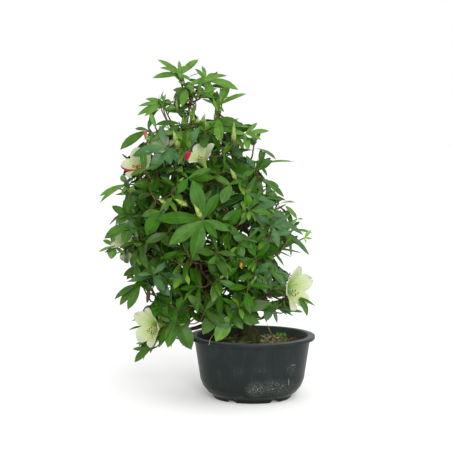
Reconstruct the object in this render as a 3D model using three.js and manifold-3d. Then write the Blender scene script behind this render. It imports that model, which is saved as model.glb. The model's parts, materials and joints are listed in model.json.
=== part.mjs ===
// Azalea shrub in an oval plastic training pot: pot, soil, leaning trunk, stems, boughs and foliage.
// Millimetres, +Z up. The origin is the centre of the pot's underside, and the front is the -Y side.

import * as THREE from "three";
import Module from "manifold-3d";
import { mergeVertices } from "three/addons/utils/BufferGeometryUtils.js";

const wasm = await Module();
wasm.setup();

// The gap that every piece keeps to the one that carries it.
const GAP = 0.3;
// Corners of a finished piece are at least this far apart.
const WELD = 0.03;
// How far the faces of a fused mass may move when they are thinned out, the most first.
const SMOOTH = [0.2, 0.16, 0.12, 0.09, 0.06, 0];
// The least share of a mass's volume that has to be left then, so that no leaf comes off.
const KEPT = 0.995;

const POT = {
  halfLength: 90, // half the rim's outer length, along X
  oval: 0.78, // depth over length
  height: 91,
  wall: 2.4,
  flange: 9.5, // the rim's flat top, from outer edge to inner edge
  flangeThick: 3.2,
  lipDrop: 5.5, // the rim's turned-down edge
  shoulderHalf: 82.6, // half the length just under the flange
  bellyHalf: 74, // half the length where the side turns in to the foot
  bellyHeight: 28,
  footHalf: 56,
  footWidth: 5,
  footHeight: 5,
  floor: 3,
  bossRadius: 12, // the round pad in the middle of the underside
  sides: 26,
};
const NOTCH = { angle: 33, bottom: 9, top: 5.5, height: 6.5, reach: 9 };
const DRAIN = { radius: 5, x: 28, y: 20, sides: 8 };

const SOIL = { edgeHeight: 80, height: 84, flatRadius: 27, waves: 1.1 };

// The trunk's centre line from the soil to its tip, and its radius along it.
const TRUNK = {
  foot: new THREE.Vector3(-5, 0, SOIL.height + GAP),
  line: [
    [-5, 0, 76],
    [-7, 1, 98],
    [-31, 3, 128],
    [-70, 5, 163],
    [-80, 2, 210],
    [-88, -3, 270],
    [-101, -4, 330],
    [-98, 0, 380],
    [-91, 2, 416],
  ],
  radii: [
    [0, 12.5],
    [0.1, 11.6],
    [0.3, 10.6],
    [0.42, 6.8],
    [0.62, 4.8],
    [0.82, 3.4],
    [1, 2],
  ],
  flare: 9, // extra radius of the root flare at the soil
  flareFade: 9, // height over which the flare fades
  roots: 5, // ridges round the flare
  ridge: [0.72, 0.38], // share of the flare between the ridges' middles, and how far they swing from it
  ridgeTurn: 0.6,
  sides: 10,
  steps: 16,
};

// Upright stems that fork from the trunk: where they leave it, the points they pass, and their radii.
const STEMS = [
  {
    name: "stem_right",
    leaves: 158,
    through: [[-36, -7, 170], [-8, -4, 205], [4, 2, 250], [9, 6, 290], [6, 2, 320]],
    radii: [5.4, 2],
  },
  {
    name: "stem_centre",
    leaves: 178,
    through: [[-56, 14, 208], [-34, 18, 262], [-38, 14, 330], [-47, 10, 388]],
    radii: [5, 1.8],
  },
  {
    name: "stem_left",
    leaves: 186,
    through: [[-104, 10, 214], [-134, 12, 240], [-160, 8, 268]],
    radii: [4.6, 1.8],
  },
];

// The crown's outline from the front, as [height, left edge, right edge], and its depth over its width.
const CROWN = {
  outline: [
    [64, -168, -112],
    [84, -173, -86],
    [104, -174, -60],
    [124, -177, 66],
    [150, -182, 82],
    [200, -206, 77],
    [226, -211, 78],
    [255, -206, 74],
    [284, -207, 58],
    [312, -204, 47],
    [341, -194, 38],
    [370, -180, 16],
    [398, -166, -2],
    [427, -153, -26],
    [455, -145, -33],
    [474, -136, -62],
  ],
  depth: 0.88,
  shootMargin: 15, // from a shoot's tip to the outline
  leafMargin: -13, // leaves stand out over it
};

// Each mass: its height and its place round the crown (turn in degrees from +X, and how far out), its
// shoots, and the limb and height that its bough leaves. Without a height it grows from its limb's tip.
const MASSES = [
  { name: "top", height: 448, turn: 0, out: 0, shoots: 5, limb: "trunk" },
  { name: "top_right", height: 404, turn: 10, out: 0.55, shoots: 5, limb: "stem_centre" },
  { name: "top_left", height: 398, turn: 215, out: 0.5, shoots: 4, limb: "trunk", leaves: 345 },
  { name: "top_back", height: 392, turn: 110, out: 0.5, shoots: 4, limb: "trunk", leaves: 330 },
  { name: "upper_left", height: 338, turn: 180, out: 0.62, shoots: 5, limb: "trunk", leaves: 292 },
  { name: "upper_front", height: 344, turn: 275, out: 0.5, shoots: 5, limb: "trunk", leaves: 280 },
  { name: "upper_right", height: 348, turn: 0, out: 0.58, shoots: 5, limb: "stem_right" },
  { name: "upper_back", height: 332, turn: 90, out: 0.55, shoots: 5, limb: "stem_centre", leaves: 300 },
  { name: "mid_left", height: 280, turn: 183, out: 0.64, shoots: 5, limb: "stem_left" },
  { name: "mid_front_left", height: 278, turn: 244, out: 0.6, shoots: 5, limb: "trunk", leaves: 232 },
  { name: "mid_front_right", height: 276, turn: 308, out: 0.62, shoots: 5, limb: "stem_right", leaves: 236 },
  { name: "mid_right_back", height: 272, turn: 28, out: 0.62, shoots: 5, limb: "stem_right", leaves: 248 },
  { name: "mid_back", height: 274, turn: 108, out: 0.62, shoots: 5, limb: "stem_centre", leaves: 246 },
  { name: "low_left_back", height: 214, turn: 155, out: 0.62, shoots: 4, limb: "stem_left", leaves: 214 },
  { name: "low_left", height: 214, turn: 204, out: 0.66, shoots: 5, limb: "trunk", leaves: 186 },
  { name: "low_front", height: 208, turn: 264, out: 0.6, shoots: 5, limb: "trunk", leaves: 168 },
  { name: "low_right_front", height: 212, turn: 322, out: 0.64, shoots: 5, limb: "stem_right", leaves: 190 },
  { name: "low_right", height: 212, turn: 14, out: 0.66, shoots: 5, limb: "stem_right", leaves: 204 },
  { name: "low_back", height: 210, turn: 86, out: 0.6, shoots: 4, limb: "trunk", leaves: 176 },
  { name: "foot_left", height: 154, turn: 190, out: 0.66, shoots: 4, limb: "trunk", leaves: 152 },
  { name: "foot_front", height: 146, turn: 244, out: 0.62, shoots: 5, limb: "trunk", leaves: 134 },
  { name: "foot_front_right", height: 150, turn: 302, out: 0.6, shoots: 4, limb: "trunk", leaves: 120 },
  { name: "foot_right", height: 156, turn: 0, out: 0.66, shoots: 5, limb: "stem_right", leaves: 176 },
  { name: "foot_back", height: 150, turn: 96, out: 0.6, shoots: 4, limb: "trunk", leaves: 140 },
  { name: "hanging_left", height: 98, turn: 205, out: 0.4, shoots: 5, limb: "trunk", leaves: 126 },
];
const SPACE = [58, 56, 52]; // how far from its mass's middle a shoot's tip may be, along X, Y and Z

// Open flowers: the mass that carries each, its throat, and the way it faces.
const BLOOMS = [
  { mass: "foot_right", at: [62, -28, 160], facing: [0.78, -0.6, 0.05] },
  { mass: "hanging_left", at: [-149, -36, 98], facing: [-0.62, -0.72, -0.3] },
  { mass: "upper_left", at: [-168, -28, 341], facing: [-0.84, -0.45, 0.25] },
  { mass: "upper_front", at: [-80, -78, 352], facing: [0.5, -0.4, 0.76] },
  { mass: "low_left", at: [-168, -38, 224], facing: [-0.3, -0.6, 0.74] },
  { mass: "low_right_front", at: [22, -56, 228], facing: [0.6, -0.7, 0.3] },
  { mass: "mid_back", at: [-90, 92, 282], facing: [-0.2, 0.9, 0.4] },
  { mass: "low_right", at: [50, 38, 220], facing: [0.6, 0.75, 0.2] },
  { mass: "low_left_back", at: [-160, 60, 216], facing: [-0.6, 0.75, 0.2] },
];

const BOUGH = {
  startShare: 0.5, // of its limb's radius
  startLeast: 2.4,
  tip: 2.1,
  sides: 5,
  steps: 3,
  short: 34, // how far from its mass's middle it ends
  sag: 8,
  bend: 0.42,
};
const TWIG = {
  root: 1.3,
  tip: 1.9,
  sides: 3,
  stretch: 22, // the straight length below a tip
  stretchMost: 0.7, // and the most of a short shoot that it takes
  rise: 0.6, // how much a shoot turns up
  margin: 11, // from a shoot's tip to the border with the next mass
  inner: 0.3, // the share of a mass's room that the tips leave empty in the middle
  tries: 60, // places looked at for each tip
  aside: 0.8, // a shoot forks this share of its reach aside before the stem's nearest place
  forks: [0.2, 0.95], // the stretch of the stem that carries shoots
  stem: 2.2,
};
const LEAF = {
  length: 50, // of a middling leaf
  lengths: [0.76, 1.06], // share of it for the innermost leaf and the outermost
  lengthSpread: 0.28,
  width: 0.5,
  thick: 1.5,
  widest: 0.48,
  arch: 0.1,
  droop: 0.16,
  lean: [42, 86], // degrees off the shoot of the innermost leaf and the outermost
  leanSpread: 14,
  leanLeast: 26,
  turns: [30, 210, 330, 150, 90, 270], // degrees round the shoot, clear of its three edges
  turnSpread: 20,
  band: 0.86, // the share of a shoot's straight stretch that carries leaves
  below: 1.8, // from the shoot's tip to the last leaf's root
  sunk: 0.4, // how far past the shoot's middle a root starts
  overlap: 0.1, // the most that two leaves share, where both leave the shoot
  // for each leaf, till one fits: share of its length, degrees round the shoot, degrees up towards its tip
  tries: [
    [1, 0, 0],
    [1, 0, 24],
    [1, 60, 0],
    [1, -60, 0],
    [0.85, 0, 12],
    [0.85, 120, 0],
    [0.85, -120, 0],
    [0.85, 180, 0],
    [0.7, 0, 24],
    [0.7, 60, 12],
    [0.7, -60, 12],
  ],
};
// An open flower; rim corners are [turn as a share of a petal, radius, height over the throat].
const BLOOM = {
  petals: 5,
  stalkRoot: 0.8, // where its stalk leaves the stem
  stalk: 12,
  tube: 17,
  neck: 2,
  throat: 6,
  lip: 1.4,
  rim: [[0, 11, 4], [0.2, 21, 8], [0.5, 28, 9], [0.8, 21, 8]],
  tries: [0, 0.08, 0.16, 0.25, 0.35, 0.5], // shares of the way in to its mass's middle
};
const UP = new THREE.Vector3(0, 0, 1);
const ALONG = new THREE.Vector3(1, 0, 0);

const colours = {
  plastic: new THREE.MeshStandardMaterial({ color: 0x2f3838, roughness: 0.55, metalness: 0 }),
  soil: new THREE.MeshStandardMaterial({ color: 0x4b4028, roughness: 0.95, metalness: 0 }),
  bark: new THREE.MeshStandardMaterial({ color: 0x4d3f2c, roughness: 0.9, metalness: 0 }),
  wood: new THREE.MeshStandardMaterial({ color: 0x6a4632, roughness: 0.8, metalness: 0 }),
  foliage: new THREE.MeshStandardMaterial({ color: 0x3f7d2e, roughness: 0.5, metalness: 0 }),
};

// One number stream for each seed, the same on every run.
function seeded(seed) {
  let state = (seed * 2654435761) % 4294967296;
  return () => {
    state = (state * 1664525 + 1013904223) % 4294967296;
    return state / 4294967296;
  };
}

function vector(xyz) {
  return new THREE.Vector3(...xyz);
}

// A closed geometry as a solid that can be joined and cut.
function solidOf(geometry) {
  const bare = geometry.clone();
  bare.deleteAttribute("normal");
  bare.deleteAttribute("uv");
  const merged = mergeVertices(bare, 1e-4);
  return new wasm.Manifold(
    new wasm.Mesh({
      numProp: 3,
      vertProperties: merged.attributes.position.array,
      triVerts: new Uint32Array(merged.index.array),
    }),
  );
}

function geometryOf(solid) {
  const mesh = solid.getMesh();
  const positions = new Float32Array(mesh.numVert * 3);
  for (let i = 0; i < mesh.numVert; i++) {
    positions.set(mesh.vertProperties.subarray(i * mesh.numProp, i * mesh.numProp + 3), i * 3);
  }
  const geometry = new THREE.BufferGeometry();
  geometry.setAttribute("position", new THREE.BufferAttribute(positions, 3));
  geometry.setIndex(new THREE.BufferAttribute(mesh.triVerts, 1));
  geometry.computeVertexNormals();
  return geometry;
}

// The same solid with corners that lie closer than a hair made one, and the faces that this closes dropped.
function welded(solid) {
  const { vertProperties, triVerts } = solid.getMesh();
  const points = [];
  const place = [];
  for (let i = 0; i < vertProperties.length; i += 3) {
    const point = new THREE.Vector3().fromArray(vertProperties, i);
    const same = points.findIndex((other) => other.distanceTo(point) < WELD);
    place.push(same < 0 ? points.push(point) - 1 : same);
  }
  const faces = [];
  for (let i = 0; i < triVerts.length; i += 3) {
    const [a, b, c] = [place[triVerts[i]], place[triVerts[i + 1]], place[triVerts[i + 2]]];
    if (a !== b && b !== c && c !== a) {
      faces.push([a, b, c]);
    }
  }
  return solidOf(geometryFrom(points, faces));
}

function largest(solid) {
  return solid.decompose().reduce((most, piece) => (piece.volume() > most.volume() ? piece : most));
}

// One body out of a fused mass, with as few faces as leave every leaf on its twig.
function finished(fused) {
  const whole = largest(fused).asOriginal();
  for (const tolerance of SMOOTH) {
    const plain = largest(welded(whole.simplify(tolerance)));
    if (plain.volume() > KEPT * whole.volume()) return plain;
  }
  return whole;
}

function geometryFrom(corners, faces) {
  const geometry = new THREE.BufferGeometry();
  const numbers = corners.flatMap((corner) => corner.toArray());
  geometry.setAttribute("position", new THREE.Float32BufferAttribute(numbers, 3));
  geometry.setIndex(faces.flat());
  return geometry;
}

// A value read off a list of [place, value] pairs, straight between them.
function between(pairs, place) {
  const next = Math.max(1, pairs.findIndex(([p]) => p >= place));
  const [p0, v0] = pairs[next - 1];
  const [p1, v1] = pairs[next];
  return v0 + ((v1 - v0) * (place - p0)) / (p1 - p0);
}

// Frames for rings of corners: each point with its heading and a way across, turned as little as may be.
function ringFrames(points, headings) {
  const across = headings[0].clone().cross(Math.abs(headings[0].x) > 0.9 ? UP : ALONG);
  return points.map((point, i) => {
    const heading = headings[i];
    across.addScaledVector(heading, -across.dot(heading)).normalize();
    return { point, across: across.clone(), beside: heading.clone().cross(across) };
  });
}

// A closed limb through rings of corners; radiusAt(share along the limb, angle round it, point).
function ringed(frames, radiusAt, sides) {
  const corners = frames.flatMap(({ point, across, beside }, i) =>
    Array.from({ length: sides }, (_, j) => {
      const angle = (j / sides) * 2 * Math.PI;
      const radius = radiusAt(i / (frames.length - 1), angle, point);
      const corner = point.clone().addScaledVector(across, radius * Math.cos(angle));
      return corner.addScaledVector(beside, radius * Math.sin(angle));
    }),
  );
  const faces = [];
  const last = (frames.length - 1) * sides;
  for (let start = 0; start < last; start += sides) {
    for (let j = 0; j < sides; j++) {
      const a = start + j;
      const b = start + ((j + 1) % sides);
      faces.push([a, b, b + sides], [a, b + sides, a + sides]);
    }
  }
  for (let j = 1; j < sides - 1; j++) {
    faces.push([0, j + 1, j], [last, last + j, last + j + 1]);
  }
  return geometryFrom(corners, faces);
}

function limbGeometry(curve, radiusAt, sides, steps) {
  const shares = Array.from({ length: steps + 1 }, (_, i) => i / steps);
  const points = shares.map((share) => curve.getPointAt(share));
  const headings = shares.map((share) => curve.getTangentAt(share));
  return ringed(ringFrames(points, headings), radiusAt, sides);
}

function limbSolid(curve, radiusAt, sides, steps) {
  return solidOf(limbGeometry(curve, radiusAt, sides, steps));
}

// A profile of [half length, height] pairs turned round the upright axis and pressed oval.
function ovalGeometry(profile) {
  const points = profile.map(([radius, height]) => new THREE.Vector2(radius, height));
  const geometry = new THREE.LatheGeometry(points, POT.sides);
  geometry.rotateX(Math.PI / 2);
  geometry.scale(1, POT.oval, 1);
  return geometry;
}

// The pot's inner wall from its floor up to the inner edge of its rim.
function potInside() {
  const floorTop = POT.footHeight + POT.floor;
  const topHalf = POT.halfLength - POT.flange;
  const bellyHalf = POT.bellyHalf - POT.wall;
  return [
    [POT.footHalf - 3, floorTop],
    [bellyHalf - 6, floorTop + 6],
    [bellyHalf, POT.bellyHeight + 1],
    [topHalf - 1, POT.height - 2],
    [topHalf, POT.height],
  ];
}

function makePot() {
  const { halfLength, height, footHalf, footWidth, footHeight, bellyHalf, bellyHeight } = POT;
  const underFlange = height - POT.flangeThick;
  const outside = [
    [0, 0],
    [POT.bossRadius, 0],
    [POT.bossRadius + 1, footHeight],
    [footHalf - footWidth - 1, footHeight],
    [footHalf - footWidth, 0],
    [footHalf, 0],
    [footHalf + 1.5, footHeight],
    [footHalf + 9, footHeight + 5],
    [bellyHalf - 4, bellyHeight - 10],
    [bellyHalf, bellyHeight],
    [POT.shoulderHalf, underFlange],
    [halfLength - 2.2, underFlange],
    [halfLength - 1.8, height - POT.lipDrop],
    [halfLength - 0.2, height - POT.lipDrop],
    [halfLength, height - 1.2],
    [halfLength - 1.2, height],
  ];
  const profile = [...outside, ...potInside().reverse(), [0, footHeight + POT.floor]];
  let pot = solidOf(ovalGeometry(profile));

  for (const turn of [NOTCH.angle, -NOTCH.angle, 180 - NOTCH.angle, 180 + NOTCH.angle]) {
    pot = pot.subtract(notchSolid(THREE.MathUtils.degToRad(turn)));
  }
  for (const x of [-DRAIN.x, DRAIN.x]) {
    for (const y of [-DRAIN.y, DRAIN.y]) {
      const drill = new THREE.CylinderGeometry(DRAIN.radius, DRAIN.radius, 30, DRAIN.sides);
      pot = pot.subtract(solidOf(drill.rotateX(Math.PI / 2).translate(x, y, 0)));
    }
  }
  return pot;
}

// A wedge-sided slot across the foot ring, at an angle round the oval counted from the front.
function notchSolid(turn) {
  const outline = new THREE.Shape();
  outline.moveTo(-NOTCH.bottom / 2, -1);
  outline.lineTo(NOTCH.bottom / 2, -1);
  outline.lineTo(NOTCH.top / 2, NOTCH.height);
  outline.lineTo(-NOTCH.top / 2, NOTCH.height);
  const slot = new THREE.ExtrudeGeometry(outline, { depth: 2 * NOTCH.reach, bevelEnabled: false });
  slot.translate(0, 0, -NOTCH.reach);
  slot.rotateX(Math.PI / 2);
  const middle = POT.footHalf - POT.footWidth / 2;
  const heading = Math.atan2(Math.sin(turn) * POT.oval, Math.cos(turn));
  slot.rotateZ(heading);
  slot.translate(middle * Math.sin(turn), -middle * POT.oval * Math.cos(turn), 0);
  return solidOf(slot);
}

function makeSoil() {
  const wall = potInside();
  const side = wall.slice(0, 3).map(([half, height]) => [half - 1.4 * GAP, height + GAP]);
  const [lowHalf, lowHeight] = wall[2];
  const [highHalf, highHeight] = wall[3];
  const share = (SOIL.edgeHeight - lowHeight) / (highHeight - lowHeight);
  const edgeHalf = lowHalf + (highHalf - lowHalf) * share - 1.4 * GAP;
  const top = [
    [edgeHalf, SOIL.edgeHeight],
    [edgeHalf * 0.82, SOIL.edgeHeight + 0.8],
    [edgeHalf * 0.6, SOIL.edgeHeight + 2.2],
    [SOIL.flatRadius / POT.oval, SOIL.height],
    [0, SOIL.height],
  ];
  const floorTop = side[0][1];
  const geometry = ovalGeometry([[0, floorTop], ...side, ...top]);
  const place = geometry.attributes.position;
  for (let i = 0; i < place.count; i++) {
    const [x, y, z] = [place.getX(i), place.getY(i), place.getZ(i)];
    const half = Math.hypot(x, y / POT.oval);
    const loose = z > SOIL.edgeHeight + 0.1 && half > SOIL.flatRadius / POT.oval + 1;
    if (loose) {
      const turn = Math.atan2(y, x);
      place.setZ(i, z + SOIL.waves * Math.sin(3 * turn + half / 9));
    }
  }
  return solidOf(geometry);
}

const trunkCurve = new THREE.CatmullRomCurve3(TRUNK.line.map(vector), false, "centripetal");

function makeTrunk(extra) {
  const radiusAt = (share, angle, middle) => {
    const rise = Math.max(0, middle.z - TRUNK.foot.z);
    const ridge = TRUNK.ridge[0] + TRUNK.ridge[1] * Math.cos(TRUNK.roots * angle + TRUNK.ridgeTurn);
    const flare = TRUNK.flare * Math.exp(-rise / TRUNK.flareFade) * ridge;
    return between(TRUNK.radii, share) + flare + extra;
  };
  const whole = limbSolid(trunkCurve, radiusAt, TRUNK.sides, TRUNK.steps);
  const below = new THREE.BoxGeometry(200, 200, 100).translate(0, 0, TRUNK.foot.z - 50);
  return whole.subtract(solidOf(below));
}

// Where a rising limb passes a height, as a share of its length.
function shareAtHeight(curve, height) {
  let low = 0;
  let high = 1;
  for (let i = 0; i < 40; i++) {
    const middle = (low + high) / 2;
    if (curve.getPointAt(middle).z < height) {
      low = middle;
    } else {
      high = middle;
    }
  }
  return low;
}

// Every limb by name: its curve, its radius along it, and its solid with and without a margin.
const limbs = new Map();
limbs.set("trunk", {
  curve: trunkCurve,
  radius: (share) => between(TRUNK.radii, share),
  solid: makeTrunk(0),
  fat: makeTrunk(GAP + 0.1),
  colour: colours.bark,
});

function addLimb(name, curve, parent, radius, sides, steps, colour) {
  const whole = limbSolid(curve, radius, sides, steps);
  limbs.set(name, {
    curve,
    radius,
    solid: whole.subtract(parent.fat),
    fat: limbSolid(curve, (share) => radius(share) + GAP + 0.1, sides, steps),
    colour,
  });
}

for (const stem of STEMS) {
  const parent = limbs.get("trunk");
  const start = parent.curve.getPointAt(shareAtHeight(parent.curve, stem.leaves));
  const curve = new THREE.CatmullRomCurve3([start, ...stem.through.map(vector)], false, "centripetal");
  const [thick, thin] = stem.radii;
  addLimb(stem.name, curve, parent, (share) => thick + (thin - thick) * share, 7, 10, colours.bark);
}

// The crown's middle and half width at a height.
function crownAt(height) {
  const left = between(CROWN.outline.map(([z, x]) => [z, x]), height);
  const right = between(CROWN.outline.map(([z, , x]) => [z, x]), height);
  return { middle: (left + right) / 2, half: (right - left) / 2 };
}

function inCrown(point, margin) {
  const heights = CROWN.outline.map(([z]) => z);
  const [low, high] = [Math.min(...heights), Math.max(...heights)];
  if (point.z < low + margin || point.z > high - margin) return false;
  const { middle, half } = crownAt(THREE.MathUtils.clamp(point.z, low, high));
  const across = (point.x - middle) / Math.max(1, half - margin);
  const through = point.y / Math.max(1, half * CROWN.depth - margin);
  return across * across + through * through < 1;
}

// A mass's middle, the point where its bough hands over to it, and the way its stem goes on from there.
function planMass(mass) {
  const { middle: centre, half } = crownAt(mass.height);
  const turn = THREE.MathUtils.degToRad(mass.turn);
  const middle = new THREE.Vector3(
    centre + half * mass.out * Math.cos(turn),
    half * CROWN.depth * mass.out * Math.sin(turn),
    mass.height,
  );
  const carrier = limbs.get(mass.limb);
  if (mass.leaves === undefined) {
    const along = carrier.curve.getTangentAt(1);
    const start = carrier.curve.getPointAt(1).addScaledVector(along, GAP);
    return { ...mass, middle, start, along, width: carrier.radius(1) };
  }
  const root = carrier.curve.getPointAt(shareAtHeight(carrier.curve, mass.leaves));
  const away = middle.clone().sub(root);
  const entry = root.clone().addScaledVector(away, 1 - BOUGH.short / away.length());
  entry.z -= BOUGH.sag;
  const along = middle.clone().sub(entry).normalize();
  const start = entry.clone().addScaledVector(along, GAP);
  return { ...mass, middle, start, along, root, entry, width: BOUGH.tip };
}

const plans = MASSES.map(planMass);

for (const plan of plans.filter((p) => p.entry)) {
  const parent = limbs.get(plan.limb);
  const share = shareAtHeight(parent.curve, plan.leaves);
  const reach = plan.entry.distanceTo(plan.root);
  const elbow = plan.entry.clone().addScaledVector(plan.along, -reach * BOUGH.bend);
  const curve = new THREE.QuadraticBezierCurve3(plan.root, elbow, plan.entry);
  const thick = Math.max(BOUGH.startLeast, parent.radius(share) * BOUGH.startShare);
  const radius = (s) => thick + (BOUGH.tip - thick) * s;
  addLimb("bough_" + plan.name, curve, parent, radius, BOUGH.sides, BOUGH.steps, colours.wood);
}

// What foliage keeps clear of: every limb with its margin, and the pot with the soil.
const potRoom = new THREE.CylinderGeometry(POT.halfLength + 2, POT.bellyHalf, POT.height + 3, 24);
potRoom.rotateX(Math.PI / 2).translate(0, 0, (POT.height + 1) / 2).scale(1, POT.oval, 1);
const keepOut = [...limbs.values()].reduce((all, limb) => all.add(limb.fat), solidOf(potRoom));

// Each mass keeps to the crown's room that is nearer to its own middle than to any other's.
function ownsPoint(plan, point, margin) {
  return plans.every((other) => {
    if (other === plan) return true;
    const apart = other.middle.clone().sub(plan.middle);
    const distance = apart.length();
    return point.clone().sub(plan.middle).dot(apart) / distance < distance / 2 - margin;
  });
}

function fits(plan, geometry, solid) {
  const place = geometry.attributes.position;
  const point = new THREE.Vector3();
  for (let i = 0; i < place.count; i++) {
    point.fromBufferAttribute(place, i);
    if (!ownsPoint(plan, point, GAP) || !inCrown(point, CROWN.leafMargin)) return false;
  }
  return solid.intersect(keepOut).isEmpty();
}

// A thin blade of six faces, pointed at both ends, ridged above; size is [length, width, thickness].
function bladeGeometry(root, way, face, size, widest, arch) {
  const [length, width, thick] = size;
  const normal = face.clone().addScaledVector(way, -face.dot(way)).normalize();
  const side = way.clone().cross(normal);
  const ridge = root.clone().addScaledVector(way, length * widest).addScaledVector(normal, length * arch);
  const edge = ridge.clone().addScaledVector(normal, -thick);
  const corners = [
    root,
    ridge,
    edge.clone().addScaledVector(side, width / 2),
    edge.clone().addScaledVector(side, -width / 2),
    root.clone().addScaledVector(way, length),
  ];
  const faces = [[0, 2, 1], [0, 3, 2], [0, 1, 3], [4, 1, 2], [4, 2, 3], [4, 3, 1]];
  return geometryFrom(corners, faces);
}

function aside(way, turn) {
  const flat = Math.abs(way.z) > 0.9 ? new THREE.Vector3(1, 0, 0) : UP;
  return way.clone().cross(flat).normalize().applyAxisAngle(way, turn);
}

// Leaves round a shoot's tip, the outer ones longer and lower, each out of the middle part of a side.
// A leaf that would cross what grows there is turned or shortened, and at last left out.
function whorl(plan, shoot, others, random) {
  const { tip, axis, stretch, across } = shoot;
  const leaves = [];
  for (let k = 0; k < LEAF.turns.length; k++) {
    const outer = 1 - k / (LEAF.turns.length - 1);
    const spread = (width) => width * (random() - 0.5);
    const lean = THREE.MathUtils.lerp(...LEAF.lean, outer) + spread(LEAF.leanSpread);
    const share = THREE.MathUtils.lerp(...LEAF.lengths, outer) * (1 + spread(LEAF.lengthSpread));
    const turn = LEAF.turns[k] + spread(LEAF.turnSpread);
    const low = THREE.MathUtils.lerp(LEAF.below, LEAF.band * stretch, outer);
    for (const [cut, swing, lift] of LEAF.tries) {
      const length = LEAF.length * share * cut;
      const tilt = THREE.MathUtils.degToRad(Math.max(LEAF.leanLeast, lean - lift));
      const out = across.clone().applyAxisAngle(axis, THREE.MathUtils.degToRad(turn + swing));
      const way = axis.clone().multiplyScalar(Math.cos(tilt)).addScaledVector(out, Math.sin(tilt));
      way.z -= LEAF.droop;
      way.normalize();
      const root = tip.clone().addScaledVector(axis, -low).addScaledVector(way, -LEAF.sunk);
      const size = [length, length * LEAF.width, LEAF.thick];
      const geometry = bladeGeometry(root, way, axis, size, LEAF.widest, LEAF.arch);
      const solid = solidOf(geometry);
      const apart = leaves.every((leaf) => leaf.intersect(solid).volume() < LEAF.overlap);
      if (apart && solid.intersect(others).isEmpty() && fits(plan, geometry, solid)) {
        leaves.push(solid);
        break;
      }
    }
  }
  return leaves;
}

// A three-sided twig bent once at its knee, or nothing where it would leave its mass's room.
function twig(plan, { root, knee, tip, axis }) {
  const first = knee.clone().sub(root).normalize();
  const frames = ringFrames([root, knee, tip], [first, axis, axis]);
  const geometry = ringed(frames, (share) => (share > 0 ? TWIG.tip : TWIG.root), TWIG.sides);
  const solid = solidOf(geometry);
  return fits(plan, geometry, solid) ? { across: frames[2].across, solid } : null;
}

// An open flower in one closed piece: a five-sided tube that widens to the throat, and five broad petals.
function bloomGeometry(throat, facing) {
  const { petals, tube, neck, lip, rim } = BLOOM;
  const corner = (turn, radius, height) => {
    const across = aside(facing, (turn / petals) * 2 * Math.PI);
    return throat.clone().addScaledVector(across, radius).addScaledVector(facing, height);
  };
  const corners = [corner(0, 0, -tube), corner(0, 0, lip)];
  const faces = [];
  const base = corners.length;
  const each = 3 + rim.length;
  const at = (petal, i) => base + (petal % petals) * each + i;
  for (let k = 0; k < petals; k++) {
    corners.push(corner(k, neck, -tube), corner(k, BLOOM.throat, 0), corner(k, BLOOM.throat - 1, lip));
    corners.push(...rim.map(([turn, radius, height]) => corner(k + turn, radius, height)));
    const [low, back, front, notch, left, end, right] = Array.from({ length: each }, (_, i) => at(k, i));
    const [nextLow, nextBack, nextFront, nextNotch] = [0, 1, 2, 3].map((i) => at(k + 1, i));
    faces.push([0, nextLow, low], [low, nextLow, nextBack], [low, nextBack, back], [1, front, nextFront]);
    faces.push([back, left, notch], [back, end, left], [back, nextBack, end]);
    faces.push([nextBack, right, end], [nextBack, nextNotch, right]);
    faces.push([front, notch, left], [front, left, end], [front, end, nextFront]);
    faces.push([nextFront, end, right], [nextFront, right, nextNotch]);
  }
  return geometryFrom(corners, faces);
}

// The flower with its stalk, drawn in towards its mass's middle till it fits there.
function bloomSolids(plan, bloom, stem) {
  const facing = vector(bloom.facing).normalize();
  for (const inward of BLOOM.tries) {
    const throat = vector(bloom.at).lerp(plan.middle, inward);
    const geometry = bloomGeometry(throat, facing);
    const flower = solidOf(geometry);
    const back = throat.clone().addScaledVector(facing, 2 - BLOOM.tube);
    const knee = back.clone().addScaledVector(facing, -BLOOM.stalk);
    const stalk = twig(plan, { root: stem.getPointAt(BLOOM.stalkRoot), knee, tip: back, axis: facing });
    if (stalk && fits(plan, geometry, flower)) return [stalk.solid, flower];
  }
  return [];
}

// How a shoot to a tip runs: its root on the stem, its knee, and the axis of its straight last stretch.
function shootTo(stem, tip) {
  const root = stem.getPointAt(forkShare(stem, tip));
  const axis = tip.clone().sub(root).normalize().addScaledVector(UP, TWIG.rise).normalize();
  const stretch = Math.min(TWIG.stretch, TWIG.stretchMost * tip.distanceTo(root));
  return { root, tip, axis, stretch, knee: tip.clone().addScaledVector(axis, -stretch) };
}

// Shoots spread through a mass: each goes to the place, of those tried, farthest from the ones before it.
function planShoots(plan, stem, random) {
  const shoots = [];
  const taken = [stem.getPointAt(0), stem.getPointAt(1)];
  const room = vector(SPACE);
  for (let k = 0; k < plan.shoots; k++) {
    let best = null;
    let widest = 0;
    for (let i = 0; i < TWIG.tries; i++) {
      const height = 2 * random() - 1;
      const turn = 2 * Math.PI * random();
      const out = TWIG.inner + (1 - TWIG.inner) * Math.sqrt(random());
      const flat = Math.sqrt(1 - height * height);
      const way = new THREE.Vector3(flat * Math.cos(turn), flat * Math.sin(turn), height);
      const tip = plan.middle.clone().add(way.multiply(room).multiplyScalar(out));
      const gap = Math.min(...taken.map((point) => point.distanceTo(tip)));
      if (gap > widest && ownsPoint(plan, tip, TWIG.margin) && inCrown(tip, CROWN.shootMargin)) {
        const shoot = shootTo(stem, tip);
        if (ownsPoint(plan, shoot.knee, 2 * TWIG.tip)) {
          best = shoot;
          widest = gap;
        }
      }
    }
    if (best) {
      shoots.push(best);
      taken.push(best.tip);
    }
  }
  return shoots;
}

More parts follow.
